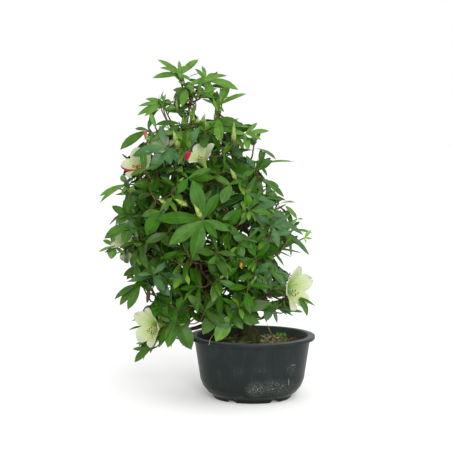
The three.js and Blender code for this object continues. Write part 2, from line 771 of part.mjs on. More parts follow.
// Where a twig to a tip forks from the stem: short of the stem's nearest place by its own reach aside.
function forkShare(stem, tip) {
  const start = stem.getPointAt(0);
  const whole = stem.getPointAt(1).sub(start);
  const length = whole.length();
  const along = tip.clone().sub(start).dot(whole) / length;
  const off = Math.sqrt(Math.max(0, tip.distanceToSquared(start) - along * along));
  return THREE.MathUtils.clamp((along - TWIG.aside * off) / length, ...TWIG.forks);
}

function makeMass(plan, seed) {
  const elbow = plan.start.clone().addScaledVector(plan.along, plan.start.distanceTo(plan.middle) * 0.5);
  const stem = new THREE.QuadraticBezierCurve3(plan.start, elbow, plan.middle);
  const stemRadius = (share) => plan.width + (TWIG.stem - plan.width) * share;
  const stemSolid = limbSolid(stem, stemRadius, 4, 2);
  const blooms = BLOOMS.filter((bloom) => bloom.mass === plan.name);
  const flowers = blooms.flatMap((bloom) => bloomSolids(plan, bloom, stem));
  const shoots = [];
  for (const shoot of planShoots(plan, stem, seeded(seed))) {
    const made = twig(plan, shoot);
    if (made && flowers.every((flower) => flower.intersect(made.solid).isEmpty())) {
      shoots.push({ ...shoot, ...made });
    }
  }
  let grown = wasm.Manifold.union([stemSolid, ...flowers]);
  shoots.forEach((shoot, k) => {
    const twigs = shoots.filter((other) => other !== shoot).map((other) => other.solid);
    const others = wasm.Manifold.union([grown, ...twigs]);
    const leaves = whorl(plan, shoot, others, seeded(100 * seed + k));
    grown = wasm.Manifold.union([grown, shoot.solid, ...leaves]);
  });
  return grown;
}

function mesh(name, solid, colour) {
  const made = new THREE.Mesh(geometryOf(solid), colour);
  made.name = name;
  return made;
}

const shrub = new THREE.Group();
shrub.add(mesh("pot", makePot(), colours.plastic));
shrub.add(mesh("soil", makeSoil(), colours.soil));
for (const [name, limb] of limbs) {
  shrub.add(mesh(name, welded(limb.solid), limb.colour));
}
plans.forEach((plan, i) => {
  shrub.add(mesh("foliage_" + plan.name, finished(makeMass(plan, i + 1)), colours.foliage));
});

export default shrub;
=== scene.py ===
import json
import math

import bpy
import numpy as np
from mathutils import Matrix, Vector, noise

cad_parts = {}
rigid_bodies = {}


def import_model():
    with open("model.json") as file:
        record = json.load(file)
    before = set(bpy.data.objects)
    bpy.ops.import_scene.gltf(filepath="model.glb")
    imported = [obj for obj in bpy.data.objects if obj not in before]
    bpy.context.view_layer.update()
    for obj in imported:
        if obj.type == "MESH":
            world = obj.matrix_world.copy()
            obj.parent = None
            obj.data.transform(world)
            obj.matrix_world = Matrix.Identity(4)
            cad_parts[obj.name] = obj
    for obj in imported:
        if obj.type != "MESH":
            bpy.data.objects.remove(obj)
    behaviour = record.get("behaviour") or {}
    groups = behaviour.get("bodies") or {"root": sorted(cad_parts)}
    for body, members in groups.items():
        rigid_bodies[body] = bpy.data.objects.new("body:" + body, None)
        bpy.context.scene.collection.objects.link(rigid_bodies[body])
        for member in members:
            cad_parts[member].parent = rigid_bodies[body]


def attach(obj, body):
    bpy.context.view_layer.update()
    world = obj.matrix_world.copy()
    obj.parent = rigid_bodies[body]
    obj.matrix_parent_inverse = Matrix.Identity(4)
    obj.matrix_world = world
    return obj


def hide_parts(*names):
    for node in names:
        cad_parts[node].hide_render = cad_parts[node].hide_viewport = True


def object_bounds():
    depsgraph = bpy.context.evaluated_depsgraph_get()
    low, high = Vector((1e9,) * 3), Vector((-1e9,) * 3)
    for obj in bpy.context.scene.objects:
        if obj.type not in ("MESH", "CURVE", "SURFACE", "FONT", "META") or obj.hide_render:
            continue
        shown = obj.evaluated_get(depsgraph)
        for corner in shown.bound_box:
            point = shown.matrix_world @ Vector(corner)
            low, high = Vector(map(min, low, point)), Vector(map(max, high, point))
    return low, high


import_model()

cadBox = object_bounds()
mm = 0.001
boxLow = np.array(cadBox[0]) / mm
boxHigh = np.array(cadBox[1]) / mm

picture = {
    "width": 452,  # pixels each way
    "focal": 1195,  # pixels
    "sensor": 36,  # millimetres, as are the next two
    "place": (-40, -1700, 443),
    "aim": (-39, 0, 249.3),
}


def unit(way):
    return way / np.linalg.norm(way)


eye = np.array(picture["place"], float)
lookWay = unit(np.array(picture["aim"], float) - eye)
lookRight = unit(np.cross(lookWay, (0, 0, 1)))
lookUp = np.cross(lookRight, lookWay)


def seenAt(across, down, depth):
    # the point at a depth (its Y) that stands behind a pixel of the picture
    half = picture["width"] / 2
    ray = lookWay + (lookRight * (across - half) + lookUp * (half - down)) / picture["focal"]
    return eye + ray * (depth - eye[1]) / ray[1]


def pixelsOf(points):
    # where points show in the picture
    away = np.atleast_2d(points) - eye
    far = away @ lookWay
    half = picture["width"] / 2
    scale = picture["focal"] / far
    return np.stack([half + (away @ lookRight) * scale, half - (away @ lookUp) * scale], axis=1)


def seeded(seed):
    # the same stream of numbers as the solids grow by
    whole = 2**32
    state = seed * 2654435761 % whole
    while True:
        state = (state * 1664525 + 1013904223) % whole
        yield state / whole


def spread(draw, width):
    return width * (next(draw) - 0.5)


def mix(low, high, share):
    return low + (high - low) * share


def linear(colour):
    # sRGB hex to the linear colour that a shader takes
    parts = [int(colour[i : i + 2], 16) / 255 for i in (1, 3, 5)]
    return [p / 12.92 if p <= 0.04045 else ((p + 0.055) / 1.055) ** 2.4 for p in parts] + [1]


def addNode(tree, kind, inputs, **settings):
    # a node with its settings; an input is a value or another node's output
    node = tree.nodes.new(kind)
    for name, value in settings.items():
        setattr(node, name, value)
    for socket, value in inputs.items():
        if isinstance(value, bpy.types.NodeSocket):
            tree.links.new(value, node.inputs[socket])
        else:
            node.inputs[socket].default_value = value
    return node


def newMaterial(name, colour, roughness, **sockets):
    material = bpy.data.materials.new(name)
    material.use_nodes = True
    material.diffuse_color = linear(colour)
    shader = material.node_tree.nodes["Principled BSDF"]
    shader.inputs["Base Color"].default_value = linear(colour)
    shader.inputs["Roughness"].default_value = roughness
    for socket, value in sockets.items():
        shader.inputs[socket.replace("_", " ")].default_value = value
    return material, material.node_tree, shader


def mottle(tree, shader, colours, grain, contrast=(0.35, 0.65), bump=0.0, bumpGrain=1.0, detail=3):
    # two tones in patches of a real size, and a fine relief; sizes in millimetres
    place = addNode(tree, "ShaderNodeTexCoord", {}).outputs["Object"]
    patches = addNode(
        tree, "ShaderNodeTexNoise", {"Vector": place, "Scale": 1 / (grain * mm), "Detail": detail}
    ).outputs["Fac"]
    low, high = contrast
    share = addNode(
        tree, "ShaderNodeMapRange", {"Value": patches, "From Min": low, "From Max": high}
    ).outputs["Result"]
    # a colour mix takes its colours at sockets 6 and 7 and gives the blend at 2, after those for numbers
    blend = addNode(
        tree,
        "ShaderNodeMix",
        {"Factor": share, 6: linear(colours[0]), 7: linear(colours[1])},
        data_type="RGBA",
    )
    tree.links.new(blend.outputs[2], shader.inputs["Base Color"])
    if bump:
        relief = addNode(
            tree, "ShaderNodeTexNoise", {"Vector": place, "Scale": 1 / (bumpGrain * mm), "Detail": 2}
        ).outputs["Fac"]
        lift = addNode(tree, "ShaderNodeBump", {"Height": relief, "Strength": 1.0, "Distance": bump * mm})
        tree.links.new(lift.outputs["Normal"], shader.inputs["Normal"])
    return place, blend


def addPiece(name, points, faces, materials, slotName, faceSlots=None, smooth=True, replaces=()):
    mesh = bpy.data.meshes.new(name)
    mesh.from_pydata((np.asarray(points, float) * mm).tolist(), [], faces)
    for material in materials:
        mesh.materials.append(material)
    if faceSlots is not None:
        mesh.polygons.foreach_set("material_index", faceSlots)
    mesh.polygons.foreach_set("use_smooth", [smooth] * len(mesh.polygons))
    mesh.validate()
    mesh.update()
    piece = bpy.data.objects.new(name, mesh)
    bpy.context.scene.collection.objects.link(piece)
    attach(piece, "root")
    if replaces:
        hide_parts(*replaces)
    return piece


def newStore():
    return {"points": [], "faces": [], "slots": [], "count": 0}


def putIn(store, points, faces, slots=0):
    # joins one shape's corners, faces and material slots on to what is there
    start = store["count"]
    store["points"].append(np.asarray(points, float))
    store["faces"].extend([[start + i for i in face] for face in faces])
    store["slots"].extend(slots if hasattr(slots, "__len__") else [slots] * len(faces))
    store["count"] += len(points)


def finishPiece(name, store, materials, slotName, **options):
    points = np.concatenate(store["points"])
    addPiece(name, points, store["faces"], materials, slotName, store["slots"], **options)


def tubeShape(line, radii, sides, relief=None):
    # a closed limb through the points of a line; relief(point, turn, ring) adds to its radius
    line = np.asarray(line, float)
    headings = np.gradient(line, axis=0)
    headings /= np.linalg.norm(headings, axis=1, keepdims=True) + 1e-12
    across = np.cross(headings[0], (0, 0, 1) if abs(headings[0][2]) < 0.9 else (1, 0, 0))
    points = []
    for i, (middle, heading) in enumerate(zip(line, headings)):
        across = unit(across - heading * (across @ heading))
        beside = np.cross(heading, across)
        for j in range(sides):
            turn = 2 * math.pi * j / sides
            way = across * math.cos(turn) + beside * math.sin(turn)
            radius = radii[i]
            if relief:
                radius += relief(middle + way * radius, turn, i)
            points.append(middle + way * radius)
    faces = []
    for i in range(len(line) - 1):
        for j in range(sides):
            a, b = i * sides + j, i * sides + (j + 1) % sides
            faces.append([a, b, b + sides, a + sides])
    faces.append(list(range(sides))[::-1])
    faces.append(list(range((len(line) - 1) * sides, len(line) * sides)))
    return points, faces


def barkRelief(deep, fine):
    # upright ridges some 3 mm wide and 14 mm long, crossed by cracks of 1 to 2 mm; both depths in mm
    def relief(point, turn, ring):
        x, y, z = point
        ridges = noise.noise(Vector((x * 0.35, y * 0.35, z * 0.07)))
        cracks = noise.noise(Vector((x * 0.9, y * 0.9, z * 0.5)))
        return deep * ridges + fine * cracks

    return relief


def between(pairs, place):
    return float(np.interp(place, [p for p, _ in pairs], [v for _, v in pairs]))


def measured(samples):
    steps = np.linalg.norm(np.diff(samples, axis=0), axis=1)
    walked = np.concatenate([[0], np.cumsum(steps)])
    return {"points": samples, "shares": walked / walked[-1], "length": walked[-1]}


def pathThrough(points, count=241):
    # a smooth line through the points that never loops between close ones
    knots = [np.array(p, float) for p in points]
    knots = [2 * knots[0] - knots[1]] + knots + [2 * knots[-1] - knots[-2]]
    samples = []
    for t in np.linspace(0, len(points) - 1, count):
        i = min(int(t), len(points) - 2)
        share = t - i
        a, b, c, d = knots[i : i + 4]
        ab, bc, cd = (math.sqrt(np.linalg.norm(q - p)) for p, q in ((a, b), (b, c), (c, d)))
        start = ((b - a) / ab - (c - a) / (ab + bc) + (c - b) / bc) * bc
        end = ((c - b) / bc - (d - b) / (bc + cd) + (d - c) / cd) * bc
        square, cube = share * share, share**3
        samples.append(
            b + start * share + (3 * (c - b) - 2 * start - end) * square + (2 * (b - c) + start + end) * cube
        )
    return measured(np.array(samples))


def pathBent(start, elbow, end, count=81):
    t = np.linspace(0, 1, count)[:, None]
    return measured(start * (1 - t) ** 2 + elbow * 2 * t * (1 - t) + end * t**2)


def along(path, share):
    return np.array([np.interp(share, path["shares"], path["points"][:, axis]) for axis in range(3)])


def headingOf(path, share):
    return unit(along(path, min(1, share + 0.004)) - along(path, max(0, share - 0.004)))


def shareAtHeight(path, height):
    over = np.nonzero(path["points"][:, 2] >= height)[0]
    i = max(1, over[0])
    low, high = path["points"][i - 1][2], path["points"][i][2]
    return mix(path["shares"][i - 1], path["shares"][i], (height - low) / (high - low))


# Camera, light and floor: the view of the photograph, even soft daylight on white.
camera = bpy.data.objects.new("camera", bpy.data.cameras.new("camera"))
camera.location = Vector(picture["place"]) * mm
camera.rotation_euler = Vector(lookWay).to_track_quat("-Z", "Y").to_euler()
camera.data.sensor_width = picture["sensor"]
camera.data.lens = picture["focal"] / picture["width"] * picture["sensor"]
bpy.context.scene.collection.objects.link(camera)
bpy.context.scene.camera = camera
bpy.context.scene.view_settings.view_transform = "Standard"

studio = {
    "sky": 1.0,
    "floorHalf": 7000,
    "key": {"from": (0.4, -0.75, 1.1), "strength": 0.6, "softness": 60},  # softness in degrees
    "fill": {  # reaches in between the leaves
        "place": (180, -1640, 720),
        "aim": (-50, 0, 250),
        "size": 700,
        "watts": 20,
    },
}


def makeStudio():
    world = bpy.data.worlds.new("overcast")
    bpy.context.scene.world = world
    world.use_nodes = True
    sky = world.node_tree.nodes["Background"]
    sky.inputs["Color"].default_value = linear("#ffffff")
    sky.inputs["Strength"].default_value = studio["sky"]
    key = bpy.data.lights.new("key", "SUN")
    key.energy = studio["key"]["strength"]
    key.angle = math.radians(studio["key"]["softness"])
    holder = bpy.data.objects.new("key", key)
    holder.rotation_euler = (-Vector(studio["key"]["from"])).to_track_quat("-Z", "Y").to_euler()
    bpy.context.scene.collection.objects.link(holder)
    fill = bpy.data.lights.new("fill", "AREA")
    fill.energy = studio["fill"]["watts"]
    fill.size = studio["fill"]["size"] * mm
    holder = bpy.data.objects.new("fill", fill)
    holder.location = Vector(studio["fill"]["place"]) * mm
    aim = Vector(studio["fill"]["aim"]) * mm
    holder.rotation_euler = (aim - holder.location).to_track_quat("-Z", "Y").to_euler()
    bpy.context.scene.collection.objects.link(holder)
    # uncoated paper spreads light with no shine
    paper, _, _ = newMaterial("matt white backdrop paper", "#f8f8f7", 0.95, Specular_IOR_Level=0.1)
    half = studio["floorHalf"] * mm
    corners = [(-half, -half, 0), (half, -half, 0), (half, half, 0), (-half, half, 0)]
    mesh = bpy.data.meshes.new("floor")
    mesh.from_pydata(corners, [], [[0, 1, 2, 3]])
    mesh.materials.append(paper)
    floor = bpy.data.objects.new("floor", mesh)
    bpy.context.scene.collection.objects.link(floor)


makeStudio()
print("studio made")

# The pot: thin-walled moulded polypropylene, dark green-grey, oval, on a notched foot ring.
pot = {
    "aside": -1,  # along X, as it stands in the photograph
    "halfLength": 90.8,
    "oval": 0.78,
    "height": 91.6,
    "wall": 2.4,
    "flange": 9.5,
    "flangeThick": 3.2,
    "lipDrop": 5.5,
    "shoulderHalf": 84.2,
    "bellyHalf": 75.2,
    "bellyHeight": 28,
    "footHalf": 56,
    "footWidth": 5,
    "footHeight": 5,
    "floor": 3,
    "bossRadius": 12,
    "around": 160,
    "edges": (1.0, 1.4),  # how round its edges are outside and inside
    "sharp": 38,  # degrees
    "notchAngle": 33,
    "notchBottom": 15.5,
    "notchTop": 4.5,
    "notchHeight": 7.9,  # just under the pot's floor
    "notchReach": 9,
    "notchUnder": -1,  # the cutters start below the foot
    "drainRadius": 5,
    "drainPlace": (28, 20),
    "drainCut": (-3, 20),  # from below the underside to above the floor
    "drainSides": 24,
    "litRimFrom": 87,  # the height from which the rim's upward faces are painted paler, as painted light
    "litInsideFrom": 9,  # the height from which the inside wall is painted lighter, as painted light, and how far out
    "litInsideHalf": 81,
    "mottleGrain": 22,  # grains in mm
    "scratches": ((288.8, 384, 0.9, 11, 0.75), (293.4, 365.2, 4.5, 0.9, 0.6)),  # as the lime
    "lime": (  # across and down in the photograph, half width and half height in mm, how strong
        (256, 390, 18, 15, 1.0),
        (275, 388, 36, 15, 0.65),
        (291, 370, 10, 13, 0.35),
        (240, 372, 12, 9, 0.1),
        (262, 371, 16, 7, 0.15),
        (240, 397, 8, 1.5, 0.9),
        (219, 372, 6, 9, 0.12),
    ),
    "limeGrain": 1.613,  # drawn coarser than real lime dust, so that it shows
    "limeStretch": (1.5, 1.5, 0.7),
    "limeLean": 0.4,
    "limeFrom": (0.515, 0.66),
    "scratchFrom": (0.36, 0.5),
    "dripGrain": 4.167,
    "dripStretch": (1, 1, 0.08),  # long upright streaks
    "dripFrom": (0.52, 0.85),
    "dripMost": 0.13,
    "lowShadeHeight": 45,
    "lowShadeMost": 0.75,
    "roughness": (0.44, 0.85),  # of clean plastic and of lime
    # tints of the water marks, of the painted shade low on the wall, and of the lime
    "wearAndShadeTints": {"drips": "#4a504c", "lowShade": "#10110d", "lime": "#999f97"},
}


def rounded(profile, radius, steps=4):
    # the same outline with its corners eased to about that radius
    points = [np.array(p, float) for p in profile]
    eased = [points[0]]
    for before, corner, after in zip(points, points[1:], points[2:]):
        back, forth = before - corner, after - corner
        # never so far that two eased corners meet
        cut = min(radius, 0.45 * np.linalg.norm(back), 0.45 * np.linalg.norm(forth))
        start, end = corner + unit(back) * cut, corner + unit(forth) * cut
        for i in range(steps + 1):
            t = i / steps
            eased.append(start * (1 - t) ** 2 + corner * 2 * t * (1 - t) + end * t**2)
    eased.append(points[-1])
    return eased


def turned(profile, around, oval):
    # a profile from the axis to the axis, turned round and pressed oval
    inner = profile[1:-1]
    points = [(0, 0, profile[0][1])]
    for half, height in inner:
        for j in range(around):
            turn = 2 * math.pi * j / around
            points.append((half * math.cos(turn), half * oval * math.sin(turn), height))
    points.append((0, 0, profile[-1][1]))
    last = len(points) - 1
    faces = [[0, 1 + (j + 1) % around, 1 + j] for j in range(around)]
    for i in range(len(inner) - 1):
        for j in range(around):
            a, b = 1 + i * around + j, 1 + i * around + (j + 1) % around
            faces.append([a, b, b + around, a + around])
    start = 1 + (len(inner) - 1) * around
    faces += [[start + j, start + (j + 1) % around, last] for j in range(around)]
    return points, faces


def potInside():
    # the inner wall from the floor up: half length and height, as the solid's
    floorTop = pot["footHeight"] + pot["floor"]
    topHalf = pot["halfLength"] - pot["flange"]
    bellyHalf = pot["bellyHalf"] - pot["wall"]
    return [
        (pot["footHalf"] - 3, floorTop),
        (bellyHalf - 6, floorTop + 6),
        (bellyHalf, pot["bellyHeight"] + 1),
        (topHalf - 1, pot["height"] - 2),
        (topHalf, pot["height"]),
    ]


def potOutside():
    # the underside and the outer wall, from the middle out and up to the rim
    half, height, foot = pot["halfLength"], pot["height"], pot["footHalf"]
    under = height - pot["flangeThick"]
    lip = height - pot["lipDrop"]
    return [
        (0, 0),
        (pot["bossRadius"], 0),
        (pot["bossRadius"] + 1, pot["footHeight"]),
        (foot - pot["footWidth"] - 1, pot["footHeight"]),
        (foot - pot["footWidth"], 0),
        (foot, 0),
        (foot + 1.5, pot["footHeight"]),
        (foot + 9, pot["footHeight"] + 5),
        (pot["bellyHalf"] - 4, pot["bellyHeight"] - 10),
        (pot["bellyHalf"], pot["bellyHeight"]),
        (pot["shoulderHalf"], under),
        (half - 2.2, under),
        (half - 1.8, lip),
        (half - 0.2, lip),
        (half, height - 1.2),
        (half - 1.2, height),
    ]


def prism(outline, low, high):
    # an upright block over a closed outline
    count = len(outline)
    points = [(x, y, z) for z in (low, high) for x, y in outline]
    faces = [list(range(count))[::-1], list(range(count, 2 * count))]
    faces += [[i, (i + 1) % count, count + (i + 1) % count, count + i] for i in range(count)]
    return points, faces


def makeCutters():
    # blocks that cut the notches in the foot ring and the drain holes
    store = newStore()
    low, high = pot["notchBottom"] / 2, pot["notchTop"] / 2
    tall, under, reach = pot["notchHeight"], pot["notchUnder"], pot["notchReach"]
    shape = [(-low, under), (low, under), (high, tall), (-high, tall)]
    middle = pot["footHalf"] - pot["footWidth"] / 2
    for angle in (pot["notchAngle"], -pot["notchAngle"], 180 - pot["notchAngle"], 180 + pot["notchAngle"]):
        turn = math.radians(angle)
        at = np.array([middle * math.sin(turn), -middle * pot["oval"] * math.cos(turn), 0])
        heading = math.atan2(math.sin(turn) * pot["oval"], math.cos(turn))
        out = np.array([math.sin(heading), -math.cos(heading), 0])
        side = np.array([math.cos(heading), math.sin(heading), 0])
        points = [at + side * s + out * r + np.array([0, 0, z]) for r in (reach, -reach) for s, z in shape]
        faces = [[0, 1, 2, 3], [7, 6, 5, 4]] + [[4 + i, 4 + (i + 1) % 4, (i + 1) % 4, i] for i in range(4)]
        putIn(store, points, faces)
    x, y = pot["drainPlace"]
    turns = np.linspace(0, 2 * math.pi, pot["drainSides"], endpoint=False)
    ring = [(math.cos(a), math.sin(a)) for a in turns]
    for cx in (-x, x):
        for cy in (-y, y):
            outline = [(cx + pot["drainRadius"] * c, cy + pot["drainRadius"] * s) for c, s in ring]
            putIn(store, *prism(outline, *pot["drainCut"]))
    mesh = bpy.data.meshes.new("cutters")
    mesh.from_pydata((np.concatenate(store["points"]) * mm).tolist(), [], store["faces"])
    cutters = bpy.data.objects.new("cutters", mesh)
    bpy.context.scene.collection.objects.link(cutters)
    return cutters


def wallAt(across, down):
    # the point of the outer wall behind a pixel of the photograph, from a first guess at its depth
    point = seenAt(across, down, -58)
    wall = [(height, half) for half, height in potOutside()[7:11]]
    for _ in range(6):  # each round brings it nearer
        half = between(wall, point[2])
        depth = -pot["oval"] * math.sqrt(max(1, half * half - point[0] ** 2))
        point = seenAt(across, down, depth)
    return point


def nearSpots(tree, place, spots):
    # how near the surface is to any of the spots on the wall, from 0 to each one's own strength
    nearest = 0.0
    for across, down, wide, tall, most in spots:
        middle = Vector(wallAt(across, down)) * mm
        gap = addNode(tree, "ShaderNodeVectorMath", {0: place, 1: middle}, operation="SUBTRACT")
        # twice as deep as wide, because the wall curves away
        scale = (1 / (wide * mm), 1 / (2 * wide * mm), 1 / (tall * mm))
        flat = addNode(tree, "ShaderNodeVectorMath", {0: gap.outputs[0], 1: scale}, operation="MULTIPLY")
        reach = addNode(tree, "ShaderNodeVectorMath", {0: flat.outputs[0]}, operation="LENGTH")
        near = addNode(
            tree,
            "ShaderNodeMapRange",
            {"Value": reach.outputs["Value"], "From Min": 1.0, "From Max": 0.2, "To Max": most},
        ).outputs["Result"]
        nearest = addNode(tree, "ShaderNodeMath", {0: nearest, 1: near}, operation="MAXIMUM").outputs[0]
    return nearest


def potPlastic(name, dark, light, wornAndShaded):
    # matt with a faint sheen; the outer one has scratches, water marks and dried lime low on the front right,
    # and painted shade darkening the wall towards its foot
    material, tree, shader = newMaterial(
        name, light, 0.46, Specular_IOR_Level=0.15, Sheen_Weight=0.1, Sheen_Roughness=0.35
    )
    place, base = mottle(
        tree, shader, (dark, light), pot["mottleGrain"], (0.3, 0.7), bump=0.05, bumpGrain=1.4
    )
    if not wornAndShaded:
        return material
    limed = nearSpots(tree, place, pot["lime"])
    scratched = nearSpots(tree, place, pot["scratches"])
    # lime dries in grains that lean a little
    streaks = addNode(
        tree,
        "ShaderNodeMapping",
        {"Vector": place, "Rotation": (0, pot["limeLean"], 0), "Scale": pot["limeStretch"]},
    )
    grain = addNode(
        tree,
        "ShaderNodeTexNoise",
        {"Vector": streaks.outputs[0], "Scale": 1 / (pot["limeGrain"] * mm), "Detail": 4, "Roughness": 0.8},
    ).outputs["Fac"]
    low, high = pot["limeFrom"]
    broken = addNode(
        tree, "ShaderNodeMapRange", {"Value": grain, "From Min": low, "From Max": high}
    ).outputs["Result"]
    lime = addNode(tree, "ShaderNodeMath", {0: limed, 1: broken}, operation="MULTIPLY").outputs[0]
    low, high = pot["scratchFrom"]
    whole = addNode(
        tree, "ShaderNodeMapRange", {"Value": grain, "From Min": low, "From Max": high}
    ).outputs["Result"]
    scratch = addNode(tree, "ShaderNodeMath", {0: scratched, 1: whole}, operation="MULTIPLY").outputs[0]
    lime = addNode(tree, "ShaderNodeMath", {0: lime, 1: scratch}, operation="MAXIMUM").outputs[0]
    # water marks: faint upright streaks down the wall
    runs = addNode(tree, "ShaderNodeMapping", {"Vector": place, "Scale": pot["dripStretch"]})
    drips = addNode(
        tree,
        "ShaderNodeTexNoise",
        {"Vector": runs.outputs[0], "Scale": 1 / (pot["dripGrain"] * mm), "Detail": 3},
    ).outputs["Fac"]
    low, high = pot["dripFrom"]
    marks = addNode(
        tree,
        "ShaderNodeMapRange",
        {"Value": drips, "From Min": low, "From Max": high, "To Max": pot["dripMost"]},
    ).outputs["Result"]
    # painted shade: the lowest part of the wall is darkened towards the foot
    height = addNode(tree, "ShaderNodeSeparateXYZ", {"Vector": place}).outputs["Z"]
    lowShade = addNode(
        tree,
        "ShaderNodeMapRange",
        {"Value": height, "From Min": pot["lowShadeHeight"] * mm, "From Max": 0.0, "To Max": pot["lowShadeMost"]},
    ).outputs["Result"]
    colour = base.outputs[2]
    for share, kind in ((marks, "drips"), (lowShade, "lowShade"), (lime, "lime")):
        tint = linear(pot["wearAndShadeTints"][kind])
        layer = addNode(tree, "ShaderNodeMix", {"Factor": share, 6: colour, 7: tint}, data_type="RGBA")
        colour = layer.outputs[2]
    tree.links.new(colour, shader.inputs["Base Color"])
    low, high = pot["roughness"]
    dull = addNode(
        tree,
        "ShaderNodeMapRange",
        {"Value": lime, "From Min": 0.0, "From Max": 1.0, "To Min": low, "To Max": high},
    ).outputs["Result"]
    tree.links.new(dull, shader.inputs["Roughness"])
    return material


def makePot():
    outside = rounded(potOutside(), pot["edges"][0])
    floorTop = pot["footHeight"] + pot["floor"]
    inside = rounded([potOutside()[-1]] + potInside()[::-1] + [(0, floorTop)], pot["edges"][1])
    points, faces = turned(outside[:-1] + inside[1:], pot["around"], pot["oval"])
    points = np.array(points) + np.array([pot["aside"], 0, 0])
    # the second and third are lighter copies of the plastic: painted light on the inside wall and on the
    # rim's top
    materials = [
        potPlastic("moulded polypropylene", "#151c1c", "#1c2322", True),
        potPlastic("moulded polypropylene inside painted lighter", "#2d352e", "#3b433b", False),
        potPlastic("moulded polypropylene rubbed rim", "#2c3534", "#3a4442", False),
    ]
    piece = addPiece("pot_wall", points, faces, materials, "pot", replaces=("pot",))
    cutters = makeCutters()
    cut = piece.modifiers.new("notches", "BOOLEAN")
    cut.operation = "DIFFERENCE"
    cut.object = cutters
    cut.solver = "EXACT"
    bpy.context.view_layer.update()
    shaped = bpy.data.meshes.new_from_object(piece.evaluated_get(bpy.context.evaluated_depsgraph_get()))
    piece.modifiers.clear()
    piece.data = shaped
    shaped.polygons.foreach_set("use_smooth", [True] * len(shaped.polygons))
    shaped.set_sharp_from_angle(angle=math.radians(pot["sharp"]))
    for face in shaped.polygons:
        x, y, z = face.center / mm
        x -= pot["aside"]
        inward = face.normal.x * x + face.normal.y * y / pot["oval"] ** 2 < 0
        # the rim's upward faces take a paler copy of the plastic: painted light on its top
        if z > pot["litRimFrom"] and face.normal.z > 0.5:
            face.material_index = 2
        # inward faces take a lighter copy of the plastic: painted light on the inside wall
        elif inward and z > pot["litInsideFrom"] and math.hypot(x, y / pot["oval"]) < pot["litInsideHalf"]:
            face.material_index = 1
    bpy.data.objects.remove(cutters)


makePot()
print("pot made")

# Soil: peaty and crumbly, with moss, a bright green tuft and dry straw-like roots on top.
soil = {
    "edgeHeight": 80,
    "slopeHeight": 82.2,
    "slopeShare": 0.6,  # how far out the slope has that height
    "height": 84,
    "flatRadius": 27,
    "seenHeight": 83,  # where a line of sight meets it
    "wallGap": 0.42,
    "rings": 46,
    "around": 150,
    "mossMiddle": -6,
    "mossReach": 26,
    "mossFrom": (0.02, 0.13),  # how mossy a spot has to be near the trunk, and elsewhere
    "lumps": ((0.03, 2.2), (0.11, 1.5), (0.35, 0.8)),  # how fine, and how high
    "wallShare": 0.93,  # from there out it lies smoother, and straws end
    "wallLumps": 0.4,
    "crumbs": 520,
    "crumbSizes": (0.7, 1.7),  # the least, and how much more the largest have
    "crumbsDry": 0.6,
    "tufts": (  # across and down in the photograph, how many blades, how far they reach, how tall
        (281, 334.5, 420, 7, 6),
        (270, 335, 160, 7, 3),
        (260, 338, 80, 10, 2),
        (233, 339, 120, 13, 2.5),
    ),
    "straws": 54,
    "strawPlace": ((257, 281), (336.5, 343)),  # across and down in the photograph
    "strawLengths": (8, 26),
    "strawCurl": 1.6,
    "strawSteps": 7,
    "strawRadii": (0.4, 0.2),
    "strandRadii": (0.5, 0.3),
    "paleRadii": (0.95, 0.5),
    "strands": (  # loose pale stalks over the soil and the rim, by across, down and depth
        ((265, 316, -44), (267, 323, -48), (269, 329, -46), (272, 334, -34)),
        ((216, 331, -62), (213, 335, -66), (210, 340, -71), (209, 345, -72)),
    ),
    "paleRoot": ((257.5, 334.3), (262, 337.6), (267, 338.6), (272, 338), (276, 339.8), (280.5, 342.2)),
}


def soilUnder(across, down):
    # the place on the soil that a pixel of the photograph shows
    ray = unit(seenAt(across, down, 0) - eye)
    return eye + ray * (soil["seenHeight"] - eye[2]) / ray[2]


def soilEdge():
    (lowHalf, low), (highHalf, high) = potInside()[2:4]
    return mix(lowHalf, highHalf, (soil["edgeHeight"] - low) / (high - low)) - 0.5


def soilHeight(x, y):
    edge = soilEdge()
    half = math.hypot(x, y / pot["oval"])
    flat, slope = soil["flatRadius"] / pot["oval"], edge * soil["slopeShare"]
    steps = [(flat, soil["height"]), (slope, soil["slopeHeight"]), (edge, soil["edgeHeight"])]
    rise = between(steps, half)
    rough = sum(high * noise.noise(Vector((x, y, 7)) * fine * 2) for fine, high in soil["lumps"])
    return rise + rough * (1 if half < edge * soil["wallShare"] else soil["wallLumps"])


def onOval(half, turn):
    # a place on a ring that is as oval as the pot
    return half * math.cos(turn), half * pot["oval"] * math.sin(turn)


